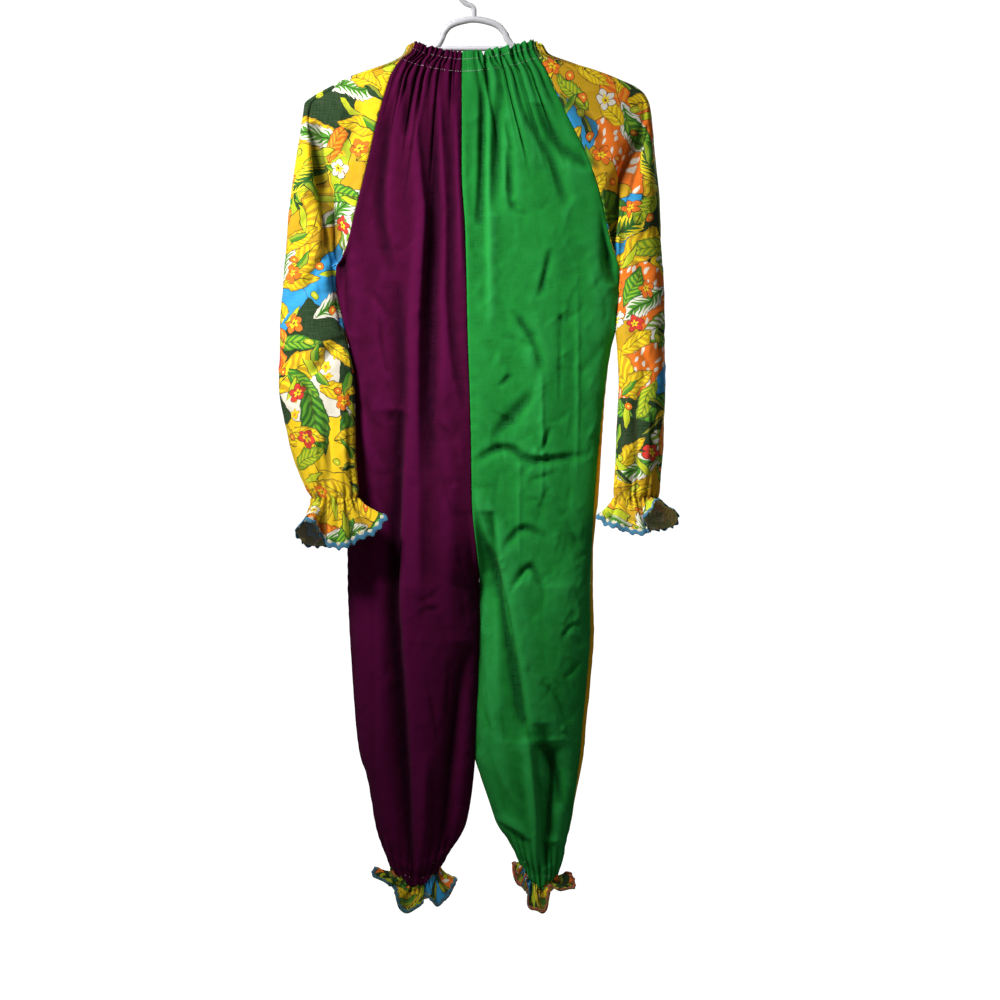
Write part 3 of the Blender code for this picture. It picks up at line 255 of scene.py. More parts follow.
FRONT_FOLDS = (
    # right front
    Fold(((-82, -135), (-89, -210)), 5, 8, -5.0),
    Fold(((-104, -150), (-112, -215), (-118, -275), (-117, -320), (-103, -385)), 9, 6, -6.0),
    Fold(((-80, -146), (-67, -275), (-64, -316), (-71, -455), (-72, -655)), 15, 5, 8.5),
    Fold(((-72, -640), (-70, -800)), 14, 6, 5.0),
    Fold(((-50, -165), (-49, -316), (-54, -430), (-57, -640)), 9, 11, -9.0),
    Fold(((-45, -140), (-39, -300)), 4, 4, 4.0),
    Fold(((-36, -180), (-30, -250), (-30, -404), (-24, -494), (-11, -560)), 5, 9, -6.0),
    Fold(((-22, -160), (-14, -390)), 6, 7, 4.5),
    Fold(((-96, -395), (-92, -520), (-90, -640)), 14, 9, -6.0),
    Fold(((-120, -700), (-124, -860), (-117, -1010), (-104, -1130)), 12, 12, 7.0),
    Fold(((-62, -1000), (-66, -1160)), 8, 7, 7.0),
    Fold(((-30, -600), (-34, -840)), 16, 12, 4.0),
    Fold(((-146, -560), (-134, -610), (-118, -640)), 9, 7, 4.0),
    Fold(((-130, -760), (-128, -1020)), 6, 9, -4.0),
    # left front
    Fold(((11, -120), (11, -182), (9, -275), (5, -325)), 4, 7, -7.0),
    Fold(((18, -140), (20, -300), (22, -460)), 5, 9, 5.0),
    Fold(((32, -140), (25, -310)), 7, 8, -7.5),
    Fold(((41, -186), (50, -230)), 3, 4, -3.0),
    Fold(((45, -220), (48, -293), (60, -310)), 4, 6, -5.0),
    Fold(((55, -138), (68, -179), (97, -233), (119, -298)), 5, 9, -5.5),
    Fold(((79, -165), (112, -221), (153, -252)), 9, 12, -8.5),
    Fold(((99, -352), (84, -416)), 3, 5, -3.5),
    Fold(((50, -430), (76, -471), (87, -510)), 4, 6, -4.0),
    Fold(((34, -530), (46, -514)), 3, 4, -2.2),
    Fold(((-1, -626), (27, -610), (50, -609), (66, -620), (85, -623), (143, -617)), 4, 7, -4.5),
    Fold(((22, -594), (79, -538)), 8, 11, -4.5),
    Fold(((85, -616), (98, -582)), 3, 4, -2.5),
    Fold(((35, -738), (63, -711), (96, -723)), 4, 6, -3.5),
    Fold(((46, -795), (71, -762), (93, -796)), 5, 3, -4.0),
    Fold(((-1, -660), (17, -716), (30, -747), (36, -783), (40, -812), (57, -896),
          (70, -975)), 4, 26, 10.5),
    Fold(((66, -960), (76, -1050), (84, -1150)), 9, 6, 10.5),
    Fold(((84, -985), (114, -1023), (116, -1068)), 7, 11, -7.0),
    Fold(((28, -1086), (50, -1096), (74, -1112)), 14, 2.5, 8.0),
    Fold(((92, -1112), (117, -1124)), 10, 3, 5.5),
    Fold(((26, -800), (30, -905), (34, -960)), 6, 6, 4.0),
    Fold(((14, -860), (26, -960), (44, -1050)), 6, 10, 4.0),
    # right sleeve: the arm hangs over the cloth of the underarm
    Fold(((-206, -186), (-208, -205), (-203, -250), (-190, -305), (-181, -356),
          (-176, -404), (-168, -462)), 3, 14, -18.0),
    Fold(((-216, -196), (-214, -250), (-203, -305), (-195, -356), (-190, -410)), 14, 5, 7.0),
    Fold(((-144, -150), (-160, -200), (-172, -250)), 12, 12, -4.0),
    Fold(((-212, -200), (-224, -330)), 10, 8, 5.0),
    Fold(((-186, -300), (-196, -370), (-238, -425)), 8, 8, -5.5),
    Fold(((-168, -465), (-190, -490), (-214, -520)), 9, 8, -6.0),
    Fold(((-236, -480), (-214, -540), (-196, -600)), 10, 8, -6.0),
    Fold(((-190, -560), (-184, -668)), 7, 5, -6.0),
    Fold(((-168, -540), (-166, -668)), 7, 5, 5.0),
    Fold(((-206, -590), (-198, -668)), 6, 4, 5.0),
    Fold(((-214, -560), (-206, -640)), 5, 5, -4.0),
    # left sleeve: the same, more steeply folded
    Fold(((226, -192), (219, -207), (201, -250), (186, -310), (181, -365),
          (183, -400)), 14, 3, -18.0),
    Fold(((232, -215), (214, -262), (200, -325), (196, -385)), 4, 15, 7.5),
    Fold(((118, -150), (150, -190), (172, -235)), 12, 10, -5.0),
    Fold(((222, -200), (227, -330)), 8, 9, 5.0),
    Fold(((190, -320), (212, -380), (238, -425)), 8, 8, -5.5),
    Fold(((196, -430), (212, -480), (236, -525)), 8, 8, -5.5),
    Fold(((218, -510), (206, -560), (200, -610)), 8, 7, -6.0),
    Fold(((208, -570), (206, -668)), 7, 5, -6.0),
    Fold(((224, -560), (222, -668)), 7, 5, 5.0),
    Fold(((192, -590), (194, -668)), 6, 4, 5.0),
)

BACK_FOLDS = (
    Fold(((-70, -140), (-84, -335)), 8, 13, -7.0),
    Fold(((-52, -140), (-50, -290), (-44, -430)), 6, 11, 7.0),
    Fold(((-32, -130), (-28, -250), (-22, -370)), 5, 9, -6.0),
    Fold(((-8, -135), (-4, -260), (-8, -380)), 7, 7, 5.0),
    Fold(((14, -130), (20, -220), (24, -330)), 6, 9, -6.0),
    Fold(((36, -135), (46, -220), (66, -330)), 8, 6, 5.5),
    Fold(((58, -150), (92, -250), (112, -330)), 8, 11, -6.0),
    Fold(((-112, -320), (-108, -450), (-96, -610)), 9, 15, -8.5),
    Fold(((-62, -420), (-60, -560), (-66, -710)), 13, 7, 7.5),
    Fold(((86, -380), (84, -520), (76, -650)), 14, 9, -8.5),
    Fold(((30, -440), (38, -560), (44, -670)), 8, 14, 6.0),
    Fold(((-144, -560), (-110, -600), (-70, -610), (-24, -596)), 5, 8, -4.0),
    Fold(((10, -640), (52, -622), (96, -634), (140, -626)), 5, 8, -4.0),
    Fold(((-92, -640), (-90, -790), (-86, -940)), 16, 8, -15.0),
    Fold(((-40, -760), (-44, -900), (-52, -1020)), 12, 12, 7.5),
    Fold(((-122, -760), (-118, -900), (-112, -1020)), 13, 12, 7.0),
    Fold(((-86, -900), (-82, -1040), (-76, -1150)), 9, 12, -14.0),
    Fold(((46, -690), (56, -830), (62, -970)), 8, 15, 9.0),
    Fold(((96, -720), (98, -860), (94, -1010)), 9, 14, -12.5),
    Fold(((92, -960), (90, -1060), (88, -1145)), 8, 8, -12.5),
    Fold(((-176, -190), (-196, -260), (-206, -335)), 12, 10, -5.5),
    Fold(((-196, -430), (-212, -480), (-222, -545)), 10, 9, -6.0),
    Fold(((-186, -550), (-182, -668)), 8, 5, 6.0),
    Fold(((-210, -560), (-200, -668)), 6, 5, -5.5),
    Fold(((176, -190), (198, -260), (214, -335)), 12, 10, -5.5),
    Fold(((200, -425), (214, -480), (222, -545)), 9, 9, -6.0),
    Fold(((204, -550), (210, -668)), 8, 5, 6.0),
    Fold(((224, -560), (220, -668)), 6, 5, -5.5),
)

# Pockets of the front's legs, where the cloth falls in and then laps back at once.
POCKETS = (
    Fold(((-94, -560), (-96, -650), (-99, -720), (-100, -804), (-96, -868), (-88, -978),
          (-81, -1148)), 25, 4, -24.0),
    Fold(((-2, -858), (-11, -905), (-17, -960), (-24, -1020), (-30, -1081),
          (-36, -1140)), 19, 9, -16.0),
    Fold(((24, -690), (30, -752), (45, -824), (57, -892), (66, -951), (73, -985)),
         30, 3.5, -15.0),
    Fold(((108, -985), (104, -1040), (100, -1088), (94, -1150)), 12, 9, -14.0),
    Fold(((88, -962), (101, -1003), (116, -1032), (122, -1075)), 15, 7, -9.0),
)

# Pressed-in creases: thin lines with a sharp bottom or crest.
CREASES = (
    Fold(((-132, -404), (-102, -447)), 2, 4, -2.6),
    Fold(((-122, -436), (-117, -480), (-109, -515)), 2, 4, -2.3),
    Fold(((-142, -538), (-133, -571), (-119, -589)), 2, 4, -2.3),
    Fold(((-46, -576), (-24, -596)), 2, 4, -2.1),
    Fold(((-72, -820), (-43, -812)), 3, 4, -2.3),
    Fold(((-74, -806), (-58, -800), (-40, -784)), 2, 4, -1.8),
    Fold(((-152, -956), (-137, -938)), 2, 4, -2.1),
    Fold(((-60, -905), (-44, -990)), 3, 5, -2.3),
    Fold(((-30, -890), (-34, -960)), 3, 5, -2.1),
    Fold(((133, -378), (134, -520), (132, -655)), 3, 2, 2.1),
    Fold(((86, -510), (88, -590), (87, -680)), 3, 2, 2.3),
    Fold(((60, -600), (58, -700), (60, -760)), 3, 2, 1.6),
    Fold(((112, -420), (110, -560)), 2, 3, -1.6),
    Fold(((17, -905), (30, -950), (34, -985)), 2, 4, -2.6),
    Fold(((6, -935), (22, -975)), 2, 4, -2.6),
    Fold(((34, -940), (40, -985)), 2, 3, -2.3),
    Fold(((18, -985), (40, -1040), (62, -1075)), 3, 5, 2.3),
    Fold(((112, -850), (127, -835), (137, -836)), 2, 4, -2.6),
    Fold(((118, -905), (138, -880)), 2, 4, -2.3),
    Fold(((80, -905), (104, -925), (122, -960)), 3, 4, -2.3),
    Fold(((56, -1000), (98, -1060)), 3, 5, -2.1),
    Fold(((70, -650), (104, -640)), 2, 4, -1.8),
    Fold(((20, -560), (62, -580)), 2, 4, -1.8),
    Fold(((-130, -660), (-108, -700), (-104, -760)), 2, 4, -1.8),
    Fold(((-40, -640), (-24, -700)), 3, 3, -1.6),
)

# Small stars where the cloth was crumpled: their middle, reach and depth.
Star = namedtuple("Star", "x z reach depth")
STARS = (
    Star(-102, -566, 26, 1.6), Star(-128, -430, 18, 1.3), Star(-58, -812, 20, 1.2),
    Star(-140, -700, 20, 1.2), Star(-30, -660, 22, 1.0), Star(-112, -900, 22, 1.2),
    Star(45, -298, 20, 1.5), Star(85, -622, 24, 2.0), Star(86, -676, 20, 1.6),
    Star(38, -611, 18, 1.6), Star(71, -770, 24, 1.8), Star(100, -905, 26, 1.6),
    Star(112, -975, 22, 1.6), Star(122, -842, 20, 1.6), Star(60, -470, 24, 1.4),
    Star(108, -440, 22, 1.2), Star(30, -760, 18, 1.4), Star(96, -1060, 20, 1.4),
    Star(24, -960, 20, 1.5),
)

# Valleys between the gathers of the neck: the share of the way from the centre
# seam to the raglan seam, how far it runs down, how deep it is, how far it leans
# across the casing, and how far the neck's edge is notched there.
Valley = namedtuple("Valley", "share run depth lean notch")
NECK_VALLEYS = {
    "front_right": (
        Valley(0.09, 36, 0.6, 0.03, 0.8), Valley(0.16, 96, 1.0, -0.04, 1.6),
        Valley(0.27, 40, 0.6, 0.04, 0.6), Valley(0.34, 210, 1.5, -0.05, 2.6),
        Valley(0.39, 50, 0.8, 0.05, 0.8), Valley(0.52, 190, 1.5, 0.06, 1.6),
        Valley(0.57, 46, 0.8, -0.04, 2.4), Valley(0.66, 150, 1.5, -0.06, 1.0),
        Valley(0.71, 54, 1.2, 0.07, 5.0), Valley(0.79, 170, 1.6, 0.05, 1.4),
        Valley(0.85, 60, 1.2, -0.07, 6.0), Valley(0.94, 90, 0.8, 0.0, 1.4),
    ),
    "front_left": (
        Valley(0.19, 44, 0.5, 0.0, 0.0), Valley(0.26, 70, 0.9, 0.05, 1.0),
        Valley(0.31, 200, 1.7, -0.06, 9.0), Valley(0.40, 50, 0.9, 0.08, 1.0),
        Valley(0.44, 150, 1.5, 0.07, 1.2), Valley(0.54, 170, 1.7, -0.06, 7.0),
        Valley(0.59, 50, 1.0, 0.05, 1.4), Valley(0.68, 180, 1.5, -0.05, 4.0),
        Valley(0.76, 60, 0.9, 0.06, 1.0), Valley(0.82, 170, 1.3, -0.04, 3.6),
        Valley(0.93, 80, 0.9, 0.0, 3.0),
    ),
    "back_right": (
        Valley(0.08, 60, 0.8, 0.03, 1.2), Valley(0.15, 130, 1.2, -0.04, 2.4),
        Valley(0.28, 46, 0.8, 0.04, 1.0), Valley(0.35, 180, 1.5, 0.05, 4.2),
        Valley(0.49, 52, 0.9, -0.05, 1.4), Valley(0.56, 170, 1.5, -0.04, 2.6),
        Valley(0.70, 60, 1.1, 0.05, 4.6), Valley(0.78, 150, 1.4, -0.04, 1.6),
        Valley(0.92, 60, 0.8, 0.0, 2.4),
    ),
    "back_left": (
        Valley(0.10, 90, 0.9, -0.03, 1.6), Valley(0.17, 50, 0.7, 0.04, 1.0),
        Valley(0.30, 180, 1.5, 0.05, 4.4), Valley(0.38, 58, 0.9, -0.05, 1.6),
        Valley(0.51, 170, 1.5, 0.04, 2.2), Valley(0.60, 56, 1.1, -0.05, 5.0),
        Valley(0.73, 170, 1.4, 0.05, 1.6), Valley(0.82, 70, 1.1, -0.03, 3.2),
        Valley(0.94, 60, 0.8, 0.0, 1.6),
    ),
    "sleeve": (
        Valley(0.10, 26, 0.8, 0.02, 1.8), Valley(0.27, 44, 1.2, -0.02, 3.2),
        Valley(0.36, 24, 0.8, 0.02, 1.6), Valley(0.52, 40, 1.2, -0.02, 2.8),
        Valley(0.60, 24, 0.8, 0.02, 1.4), Valley(0.77, 44, 1.2, 0.02, 3.2),
        Valley(0.88, 26, 0.8, -0.02, 1.8),
    ),
}
NECK_CLEAR = 6.5             # how near the middle plane a gather comes
CASING_HIGH, CASING_LOW = 31.0, 19.0  # the casing at the centre and at the raglan seam
STITCH_ROWS = (0.38, 0.98)           # the stitch rows, as shares of the casing

# ------------------------------------------------------------------ fine sizes
SHELL = 0.8                  # thickness of a cloth shell
ROW_STEP = 2.6               # from one level of the cloth to the next
PANEL_COLUMNS = 78
SLEEVE_COLUMNS = 132
RUFFLE_ROWS = 24
FRONT_OF_ANKLE = 2 / 3       # the share of an ankle ruffle's places that the front holds
SLEEVE_GROOVE_SHARE = 5 / 11  # the share of a sleeve's columns up to its groove
SLEEVE_GROOVE_MIN = 6.0      # the least room that they get
SLEEVE_EVEN_RUN = 80.0       # below the underarm the columns even out over this
RUFFLE_FLARE = 1.25          # how late a ruffle spreads on its way down
RUFFLE_GATHERS, RUFFLE_FLUTES, RUFFLE_DEPTH = 24, 11, 2.6
ANKLE_COLUMNS = 156
ELBOW_Z, ELBOW_RUN = -540.0, 60  # below it the sleeve keeps its cut width, gathered in
FLAT_ROUNDS = 900            # of easing a sleeve flat
RUFFLE_CUT = 0.86            # a ruffle's cut width over that of its fluted edge
SEAM_PITCH = 19              # of the puckers beside a seam

# Gathers at an elastic: their count, depth and reach, and their own seed.
Elastic = namedtuple("Elastic", "count size run seed")
ANKLE_ELASTIC = (Elastic(11, 4.6, 84, 2), Elastic(29, 1.5, 26, 4))
WRIST_ELASTIC = (Elastic(15, 4.8, 84, 2), Elastic(37, 1.2, 24, 4))

# Faint creases all over the cloth: their spacing, depth and length.
Crumple = namedtuple("Crumple", "spacing depth length")
PANEL_CRUMPLES = (Crumple(24, 0.9, 50), Crumple(14, 0.45, 22))
SLEEVE_CRUMPLES = (Crumple(22, 1.2, 44), Crumple(13, 0.4, 20))
PANEL_SWELL = 1.2            # of the slow swells under them
QUIET_TOP, QUIET_FADE, QUIET_EDGE = NECK_Z - 20, 60, 12  # none in the casing and seams

# The neck's gathers: the lean and depth of their valleys, and the puckers on them.
LEAN_RUN, LEAN_START = 34, 0.45
SEAM_VALLEY_RUN, SEAM_VALLEY_DEPTH = 30.0, 0.4
GATHER_TOP = 0.28            # the share of a gather that stands out
SLEEVE_GATHER, SEAM_GATHER, PANEL_GATHER = 2.4, 2.2, 7.5
PUCKERS, SLEEVE_PUCKERS, PUCKER_DEPTH, PUCKER_RUN = 23, 13, 1.9, 42
TURNED_EDGE = 1.6            # how far the fold of the top edge rolls in
SLEEVE_SAG = 5.0             # of the neck's edge between a sleeve's seams

# Worn ridges, and painted shade in the folds: over how many neighbours the cloth
# is averaged, and the height over that average which counts in full.
WEAR_AND_SHADE_SCALES = ((26, 2.2), (150, 5.0))

# Rows of stitches: a thread's length, their pitch, the share that shows, the seed.
# Those of the ankle have their height over the elastic first.
THREAD = 0.3                 # half the thickness of the sewing thread
NECK_STITCHES = (2.5, 3.5, 0.86, 5)
WRIST_STITCHES = (2.2, 4.5, 0.3, 3)
ANKLE_STITCHES = ((6, (2.2, 6.5, 0.22, 7)), (-5, (2.2, 6.5, 0.22, 8)))
WRIST_STITCHES_UP = 5        # above the elastic, as is the first of the ankle's

# Braid on a ruffle's edge: the length of a wave and the columns in it, the rows
# across, how far it swings, half its width, its middle above the edge, its lift
# off the cloth and more at its middle, and its thickness.
Braid = namedtuple("Braid", "period parts rows swing half middle lift crown thick")
RIC_RAC = Braid(13.5, 12, 6, 1.8, 3.2, 1.5, 1.4, 0.35, 0.9)
SMALL_RIC_RAC = Braid(9.0, 10, 5, 1.1, 2.3, 2.6, 1.3, 0.3, 0.8)
EDGING = Braid(13.5, 8, 4, -2.0, 2.5, 3.6, 0.7, 0.1, 0.4)

# --------------------------------------------------------------------- the print
# How each kind of motif is strewn over the cloth, in mm, how far it may be turned,
# and the share of its places that are left empty.
Strewn = namedtuple("Strewn", "spacing shift jitter turn missing")
GROUND = Strewn(76, (13, 41, 0), 0.9, 0.0, 0.0)
GRASS = Strewn(15, (5, 9, 0), 0.8, 0.9, 0.0)
DROP = Strewn(13, (3, 8, 0), 0.6, 0.8, 0.1)
DAISY = Strewn(21, (11, 2, 0), 0.6, 2 * pi, 0.15)
GREAT_LEAF = Strewn(80, (23, 61, 0), 0.8, 2 * pi, 0.06)
BROAD_LEAF = Strewn(50, (0, 0, 0), 0.75, 2 * pi, 0.16)
FROND = Strewn(72, (31, 17, 0), 0.75, 2 * pi, 0.42)
BLADE = Strewn(30, (7, 57, 0), 0.9, 2 * pi, 0.5)
BLOSSOM = Strewn(56, (47, 5, 0), 0.7, 2 * pi, 0.42)
BERRY = Strewn(27, (19, 3, 0), 0.9, 2 * pi, 0.8)
LINE_WIDTH = 0.8             # of the drawn outlines
EDGE_SOFT = 0.35             # how softly the dye ends

# The dyes of the ground, each from its chance on, and the chances of those grounds
# that have grass, drops or daisies on them.
GROUND_DYES = ((0.0, "#2E9FDA"), (0.16, "#FCD20A"), (0.34, "#B9C81A"), (0.46, "#EFE8D4"),
               (0.58, "#FA7A12"), (0.7, "#1B3A16"), (0.86, "#D7A70C"))
GRASSY, DROPPED, DAISIED = (0.34, 0.46), (0.58, 0.7), (0.46, 0.58)

# A leaf's light and dark dyes: the first, and those that take over at each chance.
LEAF_CHANCES = (0.5, 0.74, 0.88)
GREAT_DYES = (("#FFDC0C", "#62A823", "#FF9A1C", "#F4EEDC"),
              ("#D8A80C", "#2C6A1B", "#F06F0E", "#7FA828"))
BROAD_DYES = (("#FFE010", "#8CBF25", "#C8D01C", "#FFB02A"),
              ("#E0B20C", "#3C8420", "#86A81A", "#F47A12"))

# The way the printed cloth lay when each piece was cut from it.
PRINT_PLACE = {"right": np.array([210.0, 0.0]), "left": np.array([655.0, 130.0]),
               "ankle": np.array([40.0, 530.0])}

# ------------------------------------------------------------ hanger and studio
# The moulding of the hanger, as in the solids.
Place = namedtuple("Place", "x z")
WIRE, HOOK_INNER, HANGER_TUBE, BAR_TUBE = 3.2, 17.0, 4.3, 3.2
HANGER_PATH = (
    Place(-197, -156.5), Place(-185, -150.2), Place(-143, -130.5),
    Place(-94, -109.8), Place(-58, -94.5), Place(-47.5, -88.5), Place(-42, -80),
    Place(-38, -70.5), Place(-27, -60.8), Place(0, -54.8), Place(27, -60.8),
    Place(38.5, -70.5), Place(43, -80), Place(49.5, -87.5), Place(60, -92),
    Place(107, -109.2), Place(164, -130), Place(188, -141), Place(200, -147),
)
BAR_Z, BAR_ENDS = -92.5, (-47.0, 49.0)
HOOK_TURN = (-20, 230)
HOOK_FOOT = (Place(-9.5, -35), Place(-2.2, -38), Place(0, -42.5))
HOOK_FOOT_Z = -53.0
PARTING_LINE = 1.05          # how far the moulding stands out there, as a share

# The floor, the lit panel, the lights and the camera, in metres.
FLOOR_Z, FLOOR_SIZE = -2.35, (8, 8)      # half sizes
PANEL_Y, PANEL_SIZE = 7.95, (6, 3)
AIR_LIGHT = 0.1
CAMERA_PLACE, CAMERA_LENS = (0.0335, -6.0, -0.675), 167.4
Light = namedtuple("Light", "name place aim size spread power")
STUDIO_LIGHTS = (
    Light("upper_left_softbox", (-0.8, -0.85, 0.5), (0.02, 0.0, -0.5), (0.4, 0.4), 40, 2.5),
    Light("front_fill", (0.7, -2.4, -0.3), (0.0, 0.0, -0.4), (1.4, 1.4), 180, 1.1),
    Light("back_fill", (0.9, 1.9, 0.5), (0.0, 0.0, -0.6), (1.0, 1.0), 60, 3.0),
)

# Each sheet's cut: width, length and flat area in metres, and how it is held.
Cut = namedtuple("Cut", "flat area held rests")


# ------------------------------------------------------------- small functions
def lerp(a, b, t):
    """The value that lies t of the way from a to b."""
    return a + (b - a) * t


def ease(t):
    """0 to 1 with a level start and end."""
    t = np.clip(t, 0.0, 1.0)
    return t * t * (3.0 - 2.0 * t)


@lru_cache(maxsize=None)
def slopes(table, column):
    """The slope of a column at each row, so that it never overshoots."""
    z = [row.z for row in table]
    v = [getattr(row, column) for row in table]
    steps = [(v[i + 1] - v[i]) / (z[i + 1] - z[i]) for i in range(len(z) - 1)]
    inner = [0.0 if a * b <= 0 else 2 * a * b / (a + b)
             for a, b in zip(steps, steps[1:])]
    return [steps[0]] + inner + [steps[-1]]


def read(table, column, z):
    """A column of a section table at any level, as a smooth curve."""
    z = min(max(z, table[-1].z), table[0].z)
    i = 0
    while i < len(table) - 2 and z < table[i + 1].z:
        i += 1
    a, b = table[i], table[i + 1]
    m = slopes(table, column)
    h = b.z - a.z
    t = (z - a.z) / h
    t2, t3 = t * t, t * t * t
    return ((2 * t3 - 3 * t2 + 1) * getattr(a, column) + (t3 - 2 * t2 + t) * h * m[i]
            + (3 * t2 - 2 * t3) * getattr(b, column) + (t3 - t2) * h * m[i + 1])


def lengths(points, axis=0):
    """The distance along a line, or along each line of a grid, at its points."""
    steps = np.linalg.norm(np.diff(points, axis=axis), axis=-1)
    start = np.zeros_like(steps.take([0], axis=axis))
    return np.concatenate([start, np.cumsum(steps, axis=axis)], axis=axis)


def between(places, marks, rows):
    """Rows of numbers read at places that lie between the marks of those rows."""
    return np.stack([np.interp(places, marks, column) for column in rows.T], axis=1)


def divide(points, stations):
    """Points at the given distances along a line."""
    return between(stations, lengths(points), points)


def unit(vectors):
    """Vectors brought to a length of 1."""
    return vectors / np.maximum(np.linalg.norm(vectors, axis=-1, keepdims=True), 1e-9)


def spline(path, steps=10):
    """A smooth line through a few points."""
    p = np.array(path, float)
    p = np.vstack([2 * p[0] - p[1], p, 2 * p[-1] - p[-2]])
    made = []
    for a, b, c, d in zip(p, p[1:], p[2:], p[3:]):
        for t in np.arange(steps) / steps:
            made.append(0.5 * (2 * b + (c - a) * t + (2 * a - 5 * b + 4 * c - d) * t ** 2
                               + (3 * b - a - 3 * c + d) * t ** 3))
    return np.array(made + [p[-2]])


# -------------------------------------------------------------- section curves
def body_curve(centre, edge, depth):
    """From the centre seam to the side: the front quarter of a flat oval."""
    a = np.linspace(0, pi / 2, CURVE_STEPS + 1)
    return np.stack([centre + (edge - centre) * np.sin(a) ** (2 / ROUND_BODY),
                     -depth * np.cos(a)], axis=1)


def leg_curve(inner, out, depth):
    """From the inseam over the front to the side of a leg."""
    a = np.linspace(0, pi, CURVE_STEPS + 1)
    c = np.cos(a)
    across = np.abs(c) ** (2 / ROUND_LEG) * np.sign(c)
    return np.stack([(inner + out) / 2 - (out - inner) / 2 * across,
                     -depth * np.sin(a)], axis=1)


def yoke_curve(side, z):
    """Centre seam to the outer edge of the arm, and where its seam and groove lie."""
    sign, table = SIDES[side], YOKE[side]
    centre, depth = read(BODY, "centre", z), read(BODY, "depth", z)
    seam, groove, groove_depth, out, arm_depth = (
        read(table, name, z) for name in ("seam", "groove", "groove_depth", "out",
                                          "depth"))
    near = (1 - min(groove_depth / depth, 0.98) ** 2) ** (1 / ROUND_BODY)
    body = body_curve(centre, centre + (sign * groove - centre) / near, depth)
    body = body[sign * body[:, 0] < groove - 1e-6]
    lift = min(groove_depth / arm_depth, 0.999)
    reach = sqrt(1 - lift * lift)
    half = (out - groove) / (1 + reach)
    a = np.linspace(atan2(lift, -reach), 0.0, CURVE_STEPS + 1)
    arm = np.stack([sign * (out - half + half * np.cos(a)), -arm_depth * np.sin(a)],
                   axis=1)
    points = np.vstack([body, arm])
    along = lengths(points)
    groove_at = along[len(body)]
    seam_at = np.interp(seam, sign * body[:, 0], along[:len(body)])
    if seam >= sign * body[-1, 0]:
        seam_at = groove_at
    return points, seam_at, groove_at


def arm_curve(side, z):
    """From the underarm seam over the front of the arm to its outer edge."""
    inner, out, middle_y, depth = (read(ARM[side], name, z)
                                   for name in ("inner", "out", "middle_y", "depth"))
    a = np.linspace(0, pi, CURVE_STEPS + 1)
    return np.stack([SIDES[side] * ((inner + out) / 2 - (out - inner) / 2 * np.cos(a)),
                     middle_y - depth * np.sin(a)], axis=1)


def trunk_curve(side, z):
    """Centre seam or inseam to the side, below the underarm."""
    body = body_curve(read(BODY, "centre", z), SIDES[side] * read(BODY, side, z),
                      read(BODY, "depth", z))
    if z >= CROTCH_START_Z:
        return body
    leg = leg_curve(*(read(LEG[side], name, z) for name in ("inner", "out", "depth")))
    if z <= CROTCH_Z:
        return leg
    turn = ((CROTCH_START_Z - z) / (CROTCH_START_Z - CROTCH_Z)) ** CROTCH_TURN
    share = np.linspace(0, 1, CURVE_STEPS + 1)
    return lerp(divide(body, share * lengths(body)[-1]),
                divide(leg, share * lengths(leg)[-1]), turn)


def mirrored(points, middle_y=0.0):
    """The same line on the back of the suit."""
    return np.stack([points[:, 0], 2 * middle_y - points[:, 1]], axis=1)


# ------------------------------------------------------------- the cloth's sheets
class Sheet:
    """A grid of cloth points: rows from top to bottom, columns across.

    s is the distance across from the first seam, and edge the distance to the
    nearer seam, both for each point; uv is the place in the flat cloth.
    """

    def __init__(self, side, part, levels, flats, rings=0):
        self.side, self.part, self.rings = side, part, rings
        self.sign = SIDES[side]
        self.levels = np.array(levels)
        self.x = np.array([flat[:, 0] for flat in flats])
        self.y = np.array([flat[:, 1] for flat in flats])
        self.z = np.repeat(self.levels[:, None], self.x.shape[1], axis=1)
        steps = np.hypot(np.diff(self.x, axis=1), np.diff(self.y, axis=1))
        self.s = np.concatenate([np.zeros((len(flats), 1)), np.cumsum(steps, axis=1)],
                                axis=1)
        self.width = self.s[:, -1:]
        self.edge = np.minimum(self.s, self.width - self.s)
        self.share = self.s / self.width
        tx, ty = np.gradient(self.x, axis=1), np.gradient(self.y, axis=1)
        if rings:
            first = slice(len(flats) - rings, None)
            for t, value in ((tx, self.x), (ty, self.y)):
                t[first, 0] = t[first, -1] = (value[first, 1] - value[first, -2]) / 2
        size = np.maximum(np.hypot(tx, ty), 1e-9)
        self.nx, self.ny = self.sign * ty / size, -self.sign * tx / size
        self.depth = np.zeros_like(self.x)
        self.slip = np.zeros_like(self.x)
        self.rise = np.zeros_like(self.x)

    def points(self):
        """The cloth points with all that was added to them."""
        along_x, along_y = -self.sign * self.ny, self.sign * self.nx
        made = np.stack([self.x + self.nx * self.depth + along_x * self.slip,
                         self.y + self.ny * self.depth + along_y * self.slip,
                         self.z + self.rise], axis=-1)
        if self.rings:
            made[-self.rings:, -1] = made[-self.rings:, 0]
        return made


def levels_between(top, bottom, step=ROW_STEP):
    """Even levels from top to bottom."""
    return np.linspace(top, bottom, max(2, round((top - bottom) / step) + 1))


def panel_sheet(side, face):
    """A front or a back from the neck to the hem."""
    share = np.linspace(0, 1, PANEL_COLUMNS + 1)
    levels, flats = [], []
    for z in levels_between(NECK_Z, HEM_Z):
        if z > UNDERARM_Z:
            curve, seam_at, _ = yoke_curve(side, z)
            flat = divide(curve, share * seam_at)
            if face == "back":
                flat = mirrored(flat)[::-1]
        else:
            curve = trunk_curve(side, z)
            end = lengths(curve)[-1]
            turn = read(BODY, "turn_" + side, z)
            around = np.vstack([curve, mirrored(curve[:-1])[::-1]])
            start, stop = (0.0, end - turn) if face == "front" else (end - turn, 2 * end)
            flat = divide(around, lerp(start, stop, share))
        levels.append(z)
        flats.append(flat)
    return Sheet(side, face, levels, flats)


